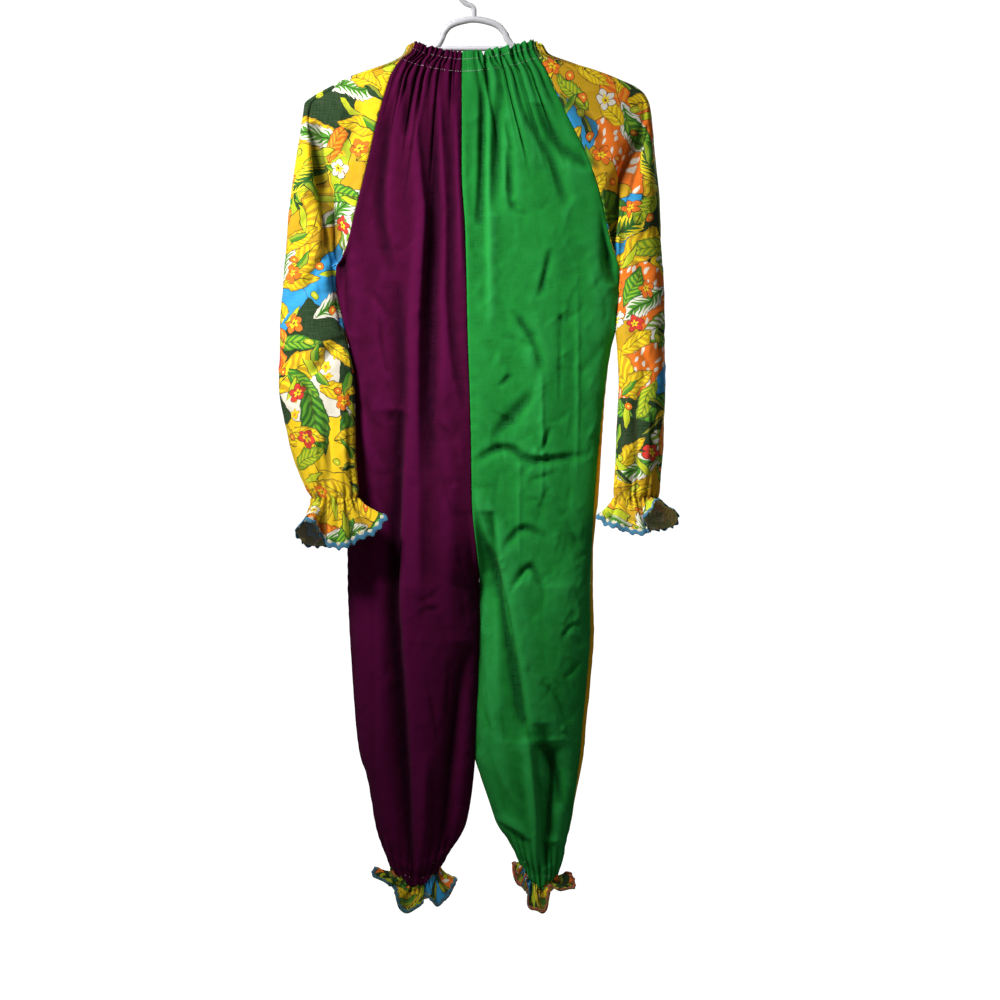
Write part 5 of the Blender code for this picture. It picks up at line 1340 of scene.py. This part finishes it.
def printed_cotton(name, pale):
    """Printed cotton: flat bright dyes with thin dark outlines, leaves and flowers.

    pale is the share of undyed cream that shows, for the wrong side.
    """
    material, add, shader = new_material(name, 0.85, 0.02)
    shader.inputs["Specular IOR Level"].default_value = 0.15
    place = cloth_place(add)
    sway = add("TexNoise", noise_dimensions="2D", out=1,
               named={"Vector": place, "Scale": 1 / 26, "Detail": 1.5})
    sway = add("VectorMath", sway, (0.5, 0.5, 0.5), operation="SUBTRACT")
    sway = add("VectorMath", sway, named={"Scale": 13.0}, operation="SCALE")
    drawn = add("VectorMath", place, sway, operation="ADD")

    # broad patches of ground, each one dye, with a line between them
    moved = add("VectorMath", drawn, GROUND.shift, operation="ADD")
    patches = {"Vector": moved, "Scale": 1 / GROUND.spacing, "Randomness": GROUND.jitter}
    patch = add("TexVoronoi", voronoi_dimensions="2D", feature="F1", out=1, named=patches)
    border = add("TexVoronoi", voronoi_dimensions="2D", feature="DISTANCE_TO_EDGE",
                 named=patches)
    chance = add("SeparateColor", patch)
    dyes = add("ValToRGB", chance)
    ramp = dyes.node.color_ramp
    ramp.interpolation = "CONSTANT"
    while len(ramp.elements) < len(GROUND_DYES):
        ramp.elements.new(1.0)
    for element, (spot, code) in zip(ramp.elements, GROUND_DYES):
        element.position = spot
        element.color = linear(code)
    seam = add("Math", border, LINE_WIDTH / GROUND.spacing / 2, operation="LESS_THAN")
    cloth = painted(add, dyes, (seam, "#2B2E14"))

    # grass on the lime ground, cream drops on the orange, daisies on the cream
    for low, high, strewn in ((*GRASSY, GRASS), (*DROPPED, DROP), (*DAISIED, DAISY)):
        x, y, kind, there = strew(add, drawn, strewn)
        here = add("Math", add("Math", chance, low, operation="GREATER_THAN"),
                   add("Math", chance, high, operation="GREATER_THAN"),
                   operation="SUBTRACT")
        there = add("Math", there, here, operation="MULTIPLY")
        if strewn is GRASS:
            edge, _, _ = leaf_edge(add, x, y, 3.4, 16.0)
            darker = add("Math", kind, 0.5, operation="GREATER_THAN")
            fill = painted(add, "#3E8A1E", (darker, "#1F4A18"))
            cloth = outlined(add, cloth, edge, there, fill, width=0.4)
        elif strewn is DROP:
            edge, _, _ = leaf_edge(add, x, y, 2.1, 5.0)
            cloth = outlined(add, cloth, edge, there, "#F6EEDC", "#F3B27A", 0.4)
        else:
            edge, _, away = petals(add, x, y, 3.4, 6.4)
            heart = add("Math", away, 1.9, operation="LESS_THAN")
            fill = painted(add, "#FCD414", (heart, "#F58A1A"))
            cloth = outlined(add, cloth, edge, there, fill, "#7C6A14", 0.5)

    # the great leaves lie under the fronds, and the broad ones over them
    cloth = striped_leaves(add, cloth, drawn, GREAT_LEAF, (19.0, 45.0, 12.0), GREAT_DYES)

    # fronds: a pale leaf with a toothed green one on it
    x, y, kind, there = strew(add, drawn, FROND)
    edge, vein, off = leaf_edge(add, x, y, 15.0, 37.0, 3.0, 8.0)
    tooth, _, _ = leaf_edge(add, x, y, 12.5, 34.0, 11.0, 8.0)
    green = painted(add, "#4E941F",
                    (add("Math", kind, 0.5, operation="GREATER_THAN"), "#2E6B1C"),
                    (add("Math", off, 0.6, operation="LESS_THAN"), "#1E4516"))
    ground = painted(add, "#F4EEDC",
                     (add("Math", kind, 0.6, operation="GREATER_THAN"), "#F6DC20"))
    frond = painted(add, ground, (within(add, tooth), green))
    cloth = outlined(add, cloth, edge, there, frond)

    cloth = striped_leaves(add, cloth, drawn, BROAD_LEAF, (11.5, 29.0, 7.5), BROAD_DYES)

    # narrow blades
    x, y, kind, there = strew(add, drawn, BLADE)
    edge, _, _ = leaf_edge(add, x, y, 4.2, 19.0)
    blade = painted(add, "#C3D01C",
                    (add("Math", kind, 0.4, operation="GREATER_THAN"), "#4C9020"),
                    (add("Math", kind, 0.75, operation="GREATER_THAN"), "#20421A"))
    lit = painted(add, blade, (add("Math", x, 0.3, operation="GREATER_THAN"),
                               "#DCE030"))
    cloth = outlined(add, cloth, edge, there, painted(add, blade, (0.4, lit)))

    # five-petalled blossoms, and berries
    x, y, kind, there = strew(add, drawn, BLOSSOM)
    edge, lobe, away = petals(add, x, y, 7.2, 11.8)
    petal = painted(add, "#FA7C16",
                    (add("Math", kind, 0.42, operation="GREATER_THAN"), "#E23A2C"),
                    (add("Math", kind, 0.74, operation="GREATER_THAN"), "#F6F0DE"))
    split = add("Math", lobe, 0.2, operation="LESS_THAN")
    star = add("Math", add("Math", lobe, 3.4, 1.9, operation="MULTIPLY_ADD"), away,
               operation="SUBTRACT")
    flower = painted(add, petal, (split, "#8A3A12"), (within(add, star), "#FFDE20"),
                     (add("Math", away, 1.4, operation="LESS_THAN"), "#8A5A10"))
    cloth = outlined(add, cloth, edge, there, flower, "#43240C")
    x, y, kind, there = strew(add, drawn, BERRY)
    edge, _, away = petals(add, x, y, 4.4, 4.4)
    berry = painted(add, "#FA7C16",
                    (add("Math", kind, 0.5, operation="GREATER_THAN"), "#C2CC22"),
                    (add("Math", away, 1.5, operation="LESS_THAN"), "#FFE85A"))
    cloth = outlined(add, cloth, edge, there, berry)

    # washed dye, threads, painted shade down in the folds, and the wrong side's cream
    threads = weave(add, place, 0.9)
    crease = add("Attribute", attribute_name="crease", out=2)
    # low: painted shade, how far down in a fold a point lies
    low = add("MapRange", crease, -0.05, -0.9, 0.0, 0.6)
    slub = add("MapRange", threads, 0.4, 0.62, 0.0, 0.04)
    # 2A2A12 laid by low is painted shade in the folds
    cloth = painted(add, cloth, (slub, "#F4EEDC"), (low, "#2A2A12"), (pale, "#CFC4A4"))
    dress(shader, add, cloth, threads, 0.4, 0.0005)
    return material


def braid_cotton(name, colour, light):
    """Ric-rac of twisted cotton yarn: ribs along the band, with a soft lustre, and a
    painted highlight: the lighter colour laid on the ribs' raised crests.
    """
    material, add, shader = new_material(name, 0.68, 0.25)
    place = cloth_place(add)
    ribs = add("TexWave", wave_type="BANDS", bands_direction="Y",
               named={"Vector": place, "Scale": 0.32, "Distortion": 1.2,
                      "Detail": 2.0, "Detail Scale": 1.6})
    # painted highlight: the lighter colour laid on the raised crests of the ribs
    shade = painted(add, colour, (add("MapRange", ribs, 0.2, 0.9, 0.0, 0.6), light))
    dress(shader, add, shade, ribs, 0.6, 0.0006)
    return material


def spun_thread():
    """White polyester sewing thread: slightly shiny, with a twist."""
    material, add, shader = new_material("white_sewing_thread", 0.5, 0.1)
    twist = add("TexNoise", named={"Vector": add("TexCoord", out=3), "Scale": 2500.0,
                                   "Detail": 1.0})
    shade = painted(add, "#CFC8CC", (twist, "#F3F0F1"))
    dress(shader, add, shade)
    return material


def moulded_plastic():
    """White moulded polypropylene: smooth and waxy, with a faint orange peel."""
    material, add, shader = new_material("white_moulded_polypropylene", 0.28, 0.0, 1.49)
    place = add("TexCoord", out=3)
    scuffs = add("TexNoise", named={"Vector": place, "Scale": 60.0, "Detail": 5.0,
                                    "Roughness": 0.7})
    peel = add("TexNoise", named={"Vector": place, "Scale": 450.0, "Detail": 2.0})
    shade = painted(add, "#F4F3F8", (add("MapRange", scuffs, 0.45, 0.75, 0.0, 0.5),
                                     "#E4E3EA"))
    dress(shader, add, shade, peel, 0.15, 0.0004)
    shader.id_data.links.new(add("MapRange", scuffs, 0.4, 0.75, 0.24, 0.42),
                             shader.inputs["Roughness"])
    shader.inputs["Subsurface Weight"].default_value = 0.08
    shader.inputs["Subsurface Radius"].default_value = (0.004, 0.004, 0.0035)
    return material


def studio_paper():
    """Matt paper on the floor under the object."""
    material, add, shader = new_material("white_studio_paper", 0.9)
    grain = add("TexNoise", named={"Vector": add("TexCoord", out=3), "Scale": 40.0,
                                   "Detail": 4.0})
    shade = painted(add, "#F6F6F6", (add("MapRange", grain, 0.3, 0.7, 0.0, 0.3),
                                     "#F1F1F1"))
    dress(shader, add, shade)
    return material


def light_panel():
    """The white diffuser of a lit panel, just bright enough to show white."""
    material, _, shader = new_material("white_diffuser_panel", 0.9)
    shader.inputs["Base Color"].default_value = (0.0, 0.0, 0.0, 1.0)
    shader.inputs["Specular IOR Level"].default_value = 0.0
    shader.inputs["Emission Color"].default_value = (1.0, 1.0, 1.0, 1.0)
    shader.inputs["Emission Strength"].default_value = 1.12
    return material


# ------------------------------------------------------------- the suit's pieces
def softened(field, steps):
    """A field averaged over its neighbours several times."""
    for _ in range(steps):
        padded = np.pad(field, 1, mode="edge")
        field = (padded[1:-1, 1:-1] * 2 + padded[:-2, 1:-1] + padded[2:, 1:-1]
                 + padded[1:-1, :-2] + padded[1:-1, 2:]) / 6
    return field


def wear_and_shade_marks(points, sign, rings):
    """-1 down in the folds to 1 on their ridges: for painted shade in the folds and wear on the
    ridges.
    """
    marks = 0.0
    for steps, size in WEAR_AND_SHADE_SCALES:
        smooth = np.stack([softened(points[..., i], steps) for i in range(3)], axis=-1)
        across, along = np.gradient(smooth, axis=1), np.gradient(smooth, axis=0)
        normal = unit(np.cross(along, across) * sign)
        marks = marks + np.clip(np.sum((points - smooth) * normal, axis=-1) / size, -1, 1)
    edge = np.minimum(np.arange(marks.shape[1]), np.arange(marks.shape[1])[::-1]) / 4
    if not rings:
        marks = marks * np.clip(edge, 0, 1)
    return softened(np.clip(marks, -1.4, 1), 2)


def add_cloth(name, points, uv, sign, rings, outside, inside=None, thickness=SHELL):
    """One piece of cloth with its thickness, its materials and its marks."""
    # the marks give the worn ridges and the painted shade in the folds
    mesh = cloth_mesh(name, points, uv, wear_and_shade_marks(points, sign, rings), sign, rings)
    mesh.materials.append(outside)
    if inside is not None:
        mesh.materials.append(inside)
    item = link(name, mesh)
    thicken(item, thickness, 0 if inside is None else 1)
    return item


def relaxed(flat, spots, rounds):
    """A grid of flat places, eased until its steps are as long as those of spots."""
    pairs = []
    for down, across in ((0, 1), (1, 0), (1, 1), (1, -1)):
        rows, columns = flat.shape[0] - down, flat.shape[1] - abs(across)
        left = 1 if across < 0 else 0
        here = (slice(0, rows), slice(left, left + columns))
        there = (slice(down, down + rows), slice(left + across, left + across + columns))
        size = np.linalg.norm(spots[there] - spots[here], axis=-1, keepdims=True)
        pairs.append((here, there, size))
    for _ in range(rounds):
        push, count = np.zeros_like(flat), np.zeros(flat.shape[:2] + (1,))
        for here, there, size in pairs:
            step = flat[there] - flat[here]
            long = np.linalg.norm(step, axis=-1, keepdims=True)
            move = step * (0.5 * (long - size) / np.maximum(long, 1e-9))
            push[here] += move
            push[there] -= move
            count[here] += 1
            count[there] += 1
        flat = flat + 1.2 * push / count
    return flat


def sleeve_flat(sheet):
    """The flat place of each point of a sleeve, from a coarse grid laid flat."""
    rows = np.unique(np.linspace(0, len(sheet.levels) - 1, 64).astype(int))
    columns = np.unique(np.linspace(0, sheet.x.shape[1] - 1, 34).astype(int))
    spots = np.stack([sheet.x, sheet.y, sheet.z], axis=-1)[np.ix_(rows, columns)]
    middle = sheet.x.shape[1] // 2
    outer = sheet.sign * sheet.x[:, middle:middle + 1]
    own = sheet.sign * sheet.x
    start = np.where(np.arange(sheet.x.shape[1]) <= middle, own, 2 * outer - own)
    flat = np.stack([start, sheet.z], axis=-1)[np.ix_(rows, columns)]
    flat = relaxed(flat, spots, FLAT_ROUNDS)
    wide = np.stack([[np.interp(np.arange(sheet.x.shape[1]), columns, row[:, k])
                      for row in flat] for k in (0, 1)], axis=-1)
    return np.stack([[np.interp(np.arange(len(sheet.levels)), rows, wide[:, c, k])
                      for c in range(sheet.x.shape[1])] for k in (0, 1)],
                    axis=-1).transpose(1, 0, 2)


def flat_cloth(sheet, points):
    """The place of each point in the flat cloth."""
    if sheet.part == "sleeve":
        flat = sleeve_flat(sheet)
        full = flat[np.searchsorted(-sheet.levels, -ELBOW_Z), :, 0]
        down = np.clip((ELBOW_Z - sheet.levels) / ELBOW_RUN, 0, 1)[:, None]
        flat[:, :, 0] = lerp(flat[:, :, 0], full[None, :], down)
        return flat
    return np.stack([lengths(points, 1), sheet.z], axis=-1)


def braid_strip(name, grid, sign, material, braid):
    """A wavy strip sewn along the loose edge of a ruffle."""
    edge = grid[-1]
    down = unit(grid[-1] - grid[-4])
    out = facings(grid, sign)[-2]
    along = lengths(edge)
    waves = round(along[-1] / braid.period)
    stations = np.linspace(0, along[-1], waves * braid.parts + 1)
    edge, down, out = (between(stations, along, rows) for rows in (edge, down, out))
    out = unit(out)
    swing = braid.swing * np.sin(2 * pi * waves * stations / along[-1])
    rows, places = [], []
    for t in np.linspace(-1, 1, braid.rows):
        up = braid.middle + swing - braid.half * t
        lift = braid.lift + braid.crown * (1 - t * t)
        rows.append(edge - down * up[:, None] + out * lift)
        places.append(np.stack([stations, -braid.half * t + 0 * stations], axis=1))
    points = np.array(rows)
    points[:, -1] = points[:, 0]
    return add_cloth(name, points, np.array(places), sign, braid.rows, material,
                     thickness=braid.thick)


def add_stitches(bm, path, out, length, pitch, keep, seed):
    """Short threads along a line on the cloth, each with a grain's shape."""
    random = np.random.default_rng(seed)
    along = lengths(path)
    reach = np.array([-length / 2, length / 2])
    for middle in np.arange(pitch / 2, along[-1] - length / 2, pitch):
        if random.uniform() > keep:
            continue
        first, last = (Vector(end) for end in between(middle + reach, along, path))
        lift = Vector(between([middle], along, out)[0])
        run = last - first
        turn = run.to_track_quat("X", "Z").to_matrix().to_4x4()
        place = Matrix.Translation(((first + last) / 2 + lift * THREAD * 0.6) * MM)
        size = Matrix.Diagonal((run.length / 2 * MM, THREAD * MM, THREAD * MM, 1))
        bmesh.ops.create_icosphere(bm, subdivisions=1, radius=1,
                                   matrix=place @ turn @ size)


def level_line(sheet, points, level):
    """The line of a sheet at a level of its own at each place across."""
    level = level + 0 * sheet.share[0]
    columns = range(len(level))
    spots = np.interp(-level, -sheet.levels, np.arange(len(sheet.levels)))
    rows = np.minimum(spots.astype(int), len(sheet.levels) - 2)
    t = (spots - rows)[:, None]
    line = lerp(points[rows, columns], points[rows + 1, columns], t)
    out = np.stack([sheet.nx[rows, columns], sheet.ny[rows, columns],
                    0 * sheet.nx[rows, columns]], axis=1)
    return line, out


def mesh_piece(name, bm, material):
    """A finished bmesh as an object with its material."""
    mesh = bpy.data.meshes.new(name)
    bm.to_mesh(mesh)
    bm.free()
    mesh.shade_smooth()
    mesh.materials.append(material)
    return link(name, mesh)


def ring_edges(ring):
    """The edges between the points of a ring."""
    points = set(ring)
    return list(dict.fromkeys(edge for vert in ring for edge in vert.link_edges
                              if edge.other_vert(vert) in points))


def rod(bm, path, radii, sides):
    """A moulded rod along a path, with its parting line along both edges."""
    ring, before = [], None
    across = Vector((0, 1, 0))
    for i, (point, radius) in enumerate(zip(path, radii)):
        ahead = (path[min(i + 1, len(path) - 1)] - path[max(i - 1, 0)]).normalized()
        turn = Matrix((across, across.cross(ahead), ahead)).transposed().to_4x4()
        here = (Matrix.Translation(point * MM) @ turn
                @ Matrix.Diagonal((radius * MM, radius * MM, 1, 1)))
        if not ring:
            ring = bmesh.ops.create_circle(bm, segments=sides, radius=1,
                                           cap_ends=True)["verts"]
            for vert in ring:
                if abs(vert.co.x) < 0.05:
                    vert.co.y *= PARTING_LINE
            bmesh.ops.transform(bm, matrix=here, verts=ring)
        else:
            grown = bmesh.ops.extrude_edge_only(bm, edges=ring_edges(ring))["geom"]
            ring = [item for item in grown if isinstance(item, bmesh.types.BMVert)]
            bmesh.ops.transform(bm, matrix=here @ before.inverted(), verts=ring)
        before = here
    bmesh.ops.contextual_create(bm, geom=ring_edges(ring))


def capped(path, radius):
    """A path and its radii with a rounded end added at both ends."""
    first, last = path[0] - path[1], path[-1] - path[-2]
    first.normalize()
    last.normalize()
    steps = (0.3, 0.55, 0.75, 0.9, 0.98)
    heads = [(path[0] + first * radius * 0.6 * t, radius * sqrt(1 - t * t)) for t in steps]
    tails = [(path[-1] + last * radius * 0.6 * t, radius * sqrt(1 - t * t)) for t in steps]
    line = heads[::-1] + [(p, radius) for p in path] + tails
    return [p for p, _ in line], [r for _, r in line]


# ------------------------------------------------------------------------ making
# the last dye of each cotton is both its darker cloudy dye and the painted shade laid down in
# its folds
plum = plain_cotton("plum_cotton", "#44062A", "#560A3B", "#200214")
green = plain_cotton("green_cotton", "#1F8933", "#2D9C48", "#0A4619")
yellow = plain_cotton("yellow_cotton", "#DFA712", "#ECC03E", "#B8860C")
print_face = printed_cotton("printed_cotton", 0.0)
print_back = printed_cotton("printed_cotton_wrong_side", 0.5)
# the second colour of each braid is a painted highlight on the crests of its ribs
blue = braid_cotton("blue_ric_rac", "#1D6C96", "#5FA9C6")
cream = braid_cotton("cream_edging", "#E6DDB8", "#F6F1DC")
teal = braid_cotton("teal_ric_rac", "#2A6E86", "#62A0B2")
rust = braid_cotton("rust_ric_rac", "#A8481F", "#D67F48")
thread = spun_thread()
plastic = moulded_plastic()
paper = studio_paper()
lit = light_panel()

COLOURS = {("front", "right"): ("plum", plum), ("front", "left"): ("green", green),
           ("back", "right"): ("plum", plum), ("back", "left"): ("yellow", yellow)}
pieces = []                  # object, the node it stands for, its slot


def stitch_casing(stitches, sheet, points, front):
    """The rows of stitches that hold the neck's casing."""
    high = casing_height(sheet, front)[0]
    for row in STITCH_ROWS:
        line = level_line(sheet, points, NECK_Z - high * row)
        add_stitches(stitches, *line, *NECK_STITCHES)


def make_panel(stitches, side, face):
    """A front or a back, with its stitches; returns its sheet and its points."""
    sign = SIDES[side]
    sheet = panel_sheet(side, face)
    finish_panel(sheet, f"{face}_{side}", 100 + 10 * sign + len(face))
    points = sheet.points()
    colour, material = COLOURS[face, side]
    item = add_cloth(f"{colour}_{face}_{side}", points, flat_cloth(sheet, points), sign,
                     0, material)
    pieces.append((item, f"{face}_{side}_panel", f"{colour}_cotton"))
    stitch_casing(stitches, sheet, points, face == "front")
    for up, kind in ANKLE_STITCHES:
        add_stitches(stitches, *level_line(sheet, points, ANKLE_Z + up), *kind)
    return sheet, points


def make_sleeve(stitches, side):
    """A sleeve with its ruffle, its braid and its stitches."""
    sign = SIDES[side]
    sheet = sleeve_sheet(side)
    finish_sleeve(sheet, 300 + 10 * sign)
    points = sheet.points()
    stitch_casing(stitches, sheet, points, True)
    add_stitches(stitches, *level_line(sheet, points, WRIST_Z + WRIST_STITCHES_UP),
                 *WRIST_STITCHES)
    uv = flat_cloth(sheet, points)
    loose = ruffle(points[-1], WRIST_Z, WRIST_RUFFLE[side], RUFFLE_ROWS, sign, 40 + sign)
    whole = np.concatenate([points, loose])
    fall = lengths(whole[len(points) - 1:])[1:].mean(axis=1)
    drop = uv[-1, :, 1].mean() - fall
    width = RUFFLE_CUT * lengths(loose[-1])[-1]
    spread = np.linspace(-0.5, 0.5, points.shape[1]) * width + uv[-1, :, 0].mean()
    t = np.linspace(0, 1, RUFFLE_ROWS + 1)[1:, None]
    loose_uv = np.stack([lerp(uv[-1, :, 0][None, :], spread[None, :], t),
                         np.repeat(drop[:, None], points.shape[1], axis=1)], axis=-1)
    item = add_cloth(f"printed_sleeve_{side}", whole,
                     np.concatenate([uv, loose_uv]) + PRINT_PLACE[side], sign,
                     sheet.rings + RUFFLE_ROWS, print_face, print_back)
    pieces.append((item, f"sleeve_{side}", "printed_cotton"))
    item = braid_strip(f"cuff_braid_{side}", whole, sign, blue, RIC_RAC)
    pieces.append((item, f"cuff_trim_{side}", "blue_braid"))
    item = braid_strip(f"cuff_edging_{side}", whole, sign, cream, EDGING)
    pieces.append((item, None, "printed_cotton"))


def make_ankle_ruffle(hems, side):
    """The ruffle inside a leg's hem, with its braid."""
    sign = SIDES[side]
    grid = ankle_ruffle_grid(hems, side, sign)
    across = np.linspace(0, RUFFLE_CUT * lengths(grid[-1])[-1], grid.shape[1])
    down = -lengths(grid).mean(axis=1)
    uv = np.stack(np.broadcast_arrays(across[None, :], down[:, None]), axis=-1)
    item = add_cloth(f"printed_ankle_ruffle_{side}", grid, uv + PRINT_PLACE["ankle"],
                     sign, len(grid), print_face, print_back)
    pieces.append((item, f"ankle_ruffle_{side}", "printed_cotton"))
    kind, material = (("teal", teal) if side == "right" else ("rust", rust))
    item = braid_strip(f"ankle_braid_{side}", grid, sign, material, SMALL_RIC_RAC)
    pieces.append((item, f"ankle_trim_{side}", f"{kind}_braid"))


def make_suit():
    """Every cloth piece of the suit, with its braid and its stitches."""
    stitches = bmesh.new()
    for side in SIDES:
        hems = {face: make_panel(stitches, side, face) for face in ("front", "back")}
        make_sleeve(stitches, side)
        make_ankle_ruffle(hems, side)
    item = mesh_piece("sewing_stitches", stitches, thread)
    pieces.append((item, None, "printed_cotton"))


def ankle_ruffle_grid(hems, side, sign):
    """The ruffle sewn inside a leg's hem: its tucked top and its loose rows."""
    place = np.linspace(0, 1, ANKLE_COLUMNS + 1)
    rings = []
    for level in (ANKLE_Z, HEM_Z):
        marks, spots = [], []
        for face, start, span in (("front", 0.0, FRONT_OF_ANKLE),
                                  ("back", FRONT_OF_ANKLE, 1 - FRONT_OF_ANKLE)):
            sheet, points = hems[face]
            row = int(np.argmin(np.abs(sheet.levels - level)))
            marks.append(start + sheet.share[row] * span)
            spots.append(points[row])
        marks, spots = np.concatenate(marks), np.concatenate(spots)
        rings.append(between(place, marks, spots))
    middle = rings[1].mean(axis=0)
    for ring in rings:
        ring[:, :2] -= unit(ring[:, :2] - middle[:2]) * TUCK_GAP
        ring[-1] = ring[0]
    ankle, hem = rings
    top = lerp(hem, ankle, ANKLE_RUFFLE_TUCK / (ANKLE_Z - HEM_Z))
    low = hem - np.array([0, 0, TUCK_BELOW])
    low[-1] = low[0]
    tuck = np.array([lerp(top, low, t) for t in (0.0, 0.33, 0.66, 1.0)])
    loose = ruffle(low, HEM_Z, ANKLE_RUFFLE[side], RUFFLE_ROWS, sign, 60 + sign)
    return np.concatenate([tuck, loose])


def moulded_piece(name, node, *rods):
    """A piece of the hanger from its rods: the path, half thickness and sides of each."""
    bm = bmesh.new()
    for path, half, sides in rods:
        rod(bm, *capped(path, half), sides)
    bmesh.ops.recalc_face_normals(bm, faces=bm.faces)
    pieces.append((mesh_piece(name, bm, plastic), node, "white_plastic"))


def make_hanger():
    """The moulded hanger with its bar, and its hook."""
    path = [Vector((x, 0, z)) for x, z in spline([(p.x, p.z) for p in HANGER_PATH], 8)]
    bar = [Vector((lerp(BAR_ENDS[0], BAR_ENDS[1], t), 0, BAR_Z))
           for t in np.linspace(0, 1, 12)]
    radius = HOOK_INNER + WIRE
    arc = [Vector((radius * cos(radians(a)), 0, radius * sin(radians(a)) - HOOK_INNER))
           for a in range(*HOOK_TURN, 4)]
    foot = spline([(arc[-1].x, arc[-1].z)] + [(p.x, p.z) for p in HOOK_FOOT]
                  + [(0, HOOK_FOOT_Z)], 8)[1:]
    hook = arc + [Vector((x, 0, z)) for x, z in foot]
    moulded_piece("moulded_hanger", "hanger_frame", (path, HANGER_TUBE, 40),
                  (bar, BAR_TUBE, 28))
    moulded_piece("hanger_hook_rod", "hanger_hook", (hook, WIRE, 28))


def make_studio():
    """A pale floor, a lit panel well behind the object, soft lights, the camera."""
    upright = Matrix.Rotation(pi / 2, 4, "X")
    for name, place, size, material in (
            ("studio_floor", Matrix.Translation((0, 0, FLOOR_Z)), FLOOR_SIZE, paper),
            ("studio_light_panel", Matrix.Translation((0, PANEL_Y, FLOOR_Z + PANEL_SIZE[1]))
             @ upright, PANEL_SIZE, lit)):
        bm = bmesh.new()
        bmesh.ops.create_grid(bm, x_segments=1, y_segments=1, size=1,
                              matrix=place @ Matrix.Diagonal((*size, 1, 1)))
        mesh_piece(name, bm, material)

    world = bpy.data.worlds.new("studio_air")
    bpy.context.scene.world = world
    world.use_nodes = True
    air = world.node_tree.nodes["Background"]
    air.inputs["Color"].default_value = (1.0, 1.0, 1.0, 1.0)
    air.inputs["Strength"].default_value = AIR_LIGHT
    for name, place, aim, size, spread, power in STUDIO_LIGHTS:
        data = bpy.data.lights.new(name, "AREA")
        data.shape = "RECTANGLE"
        data.size, data.size_y = size
        data.spread = radians(spread)
        data.energy = power
        lamp = bpy.data.objects.new(name, data)
        bpy.context.scene.collection.objects.link(lamp)
        lamp.visible_camera = False
        lamp.location = place
        lamp.rotation_euler = (Vector(aim) - Vector(place)).to_track_quat(
            "-Z", "Y").to_euler()

    bpy.context.scene.view_settings.view_transform = "Standard"
    data = bpy.data.cameras.new("camera")
    data.sensor_width = 36.0
    data.lens = CAMERA_LENS
    camera = bpy.data.objects.new("camera", data)
    bpy.context.scene.collection.objects.link(camera)
    camera.location = CAMERA_PLACE
    camera.rotation_euler = (pi / 2, 0, 0)
    bpy.context.scene.camera = camera


make_suit()
make_hanger()
make_studio()

for item, node, slot in pieces:
    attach(item, "root")
    if node is not None:
        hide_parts(node)
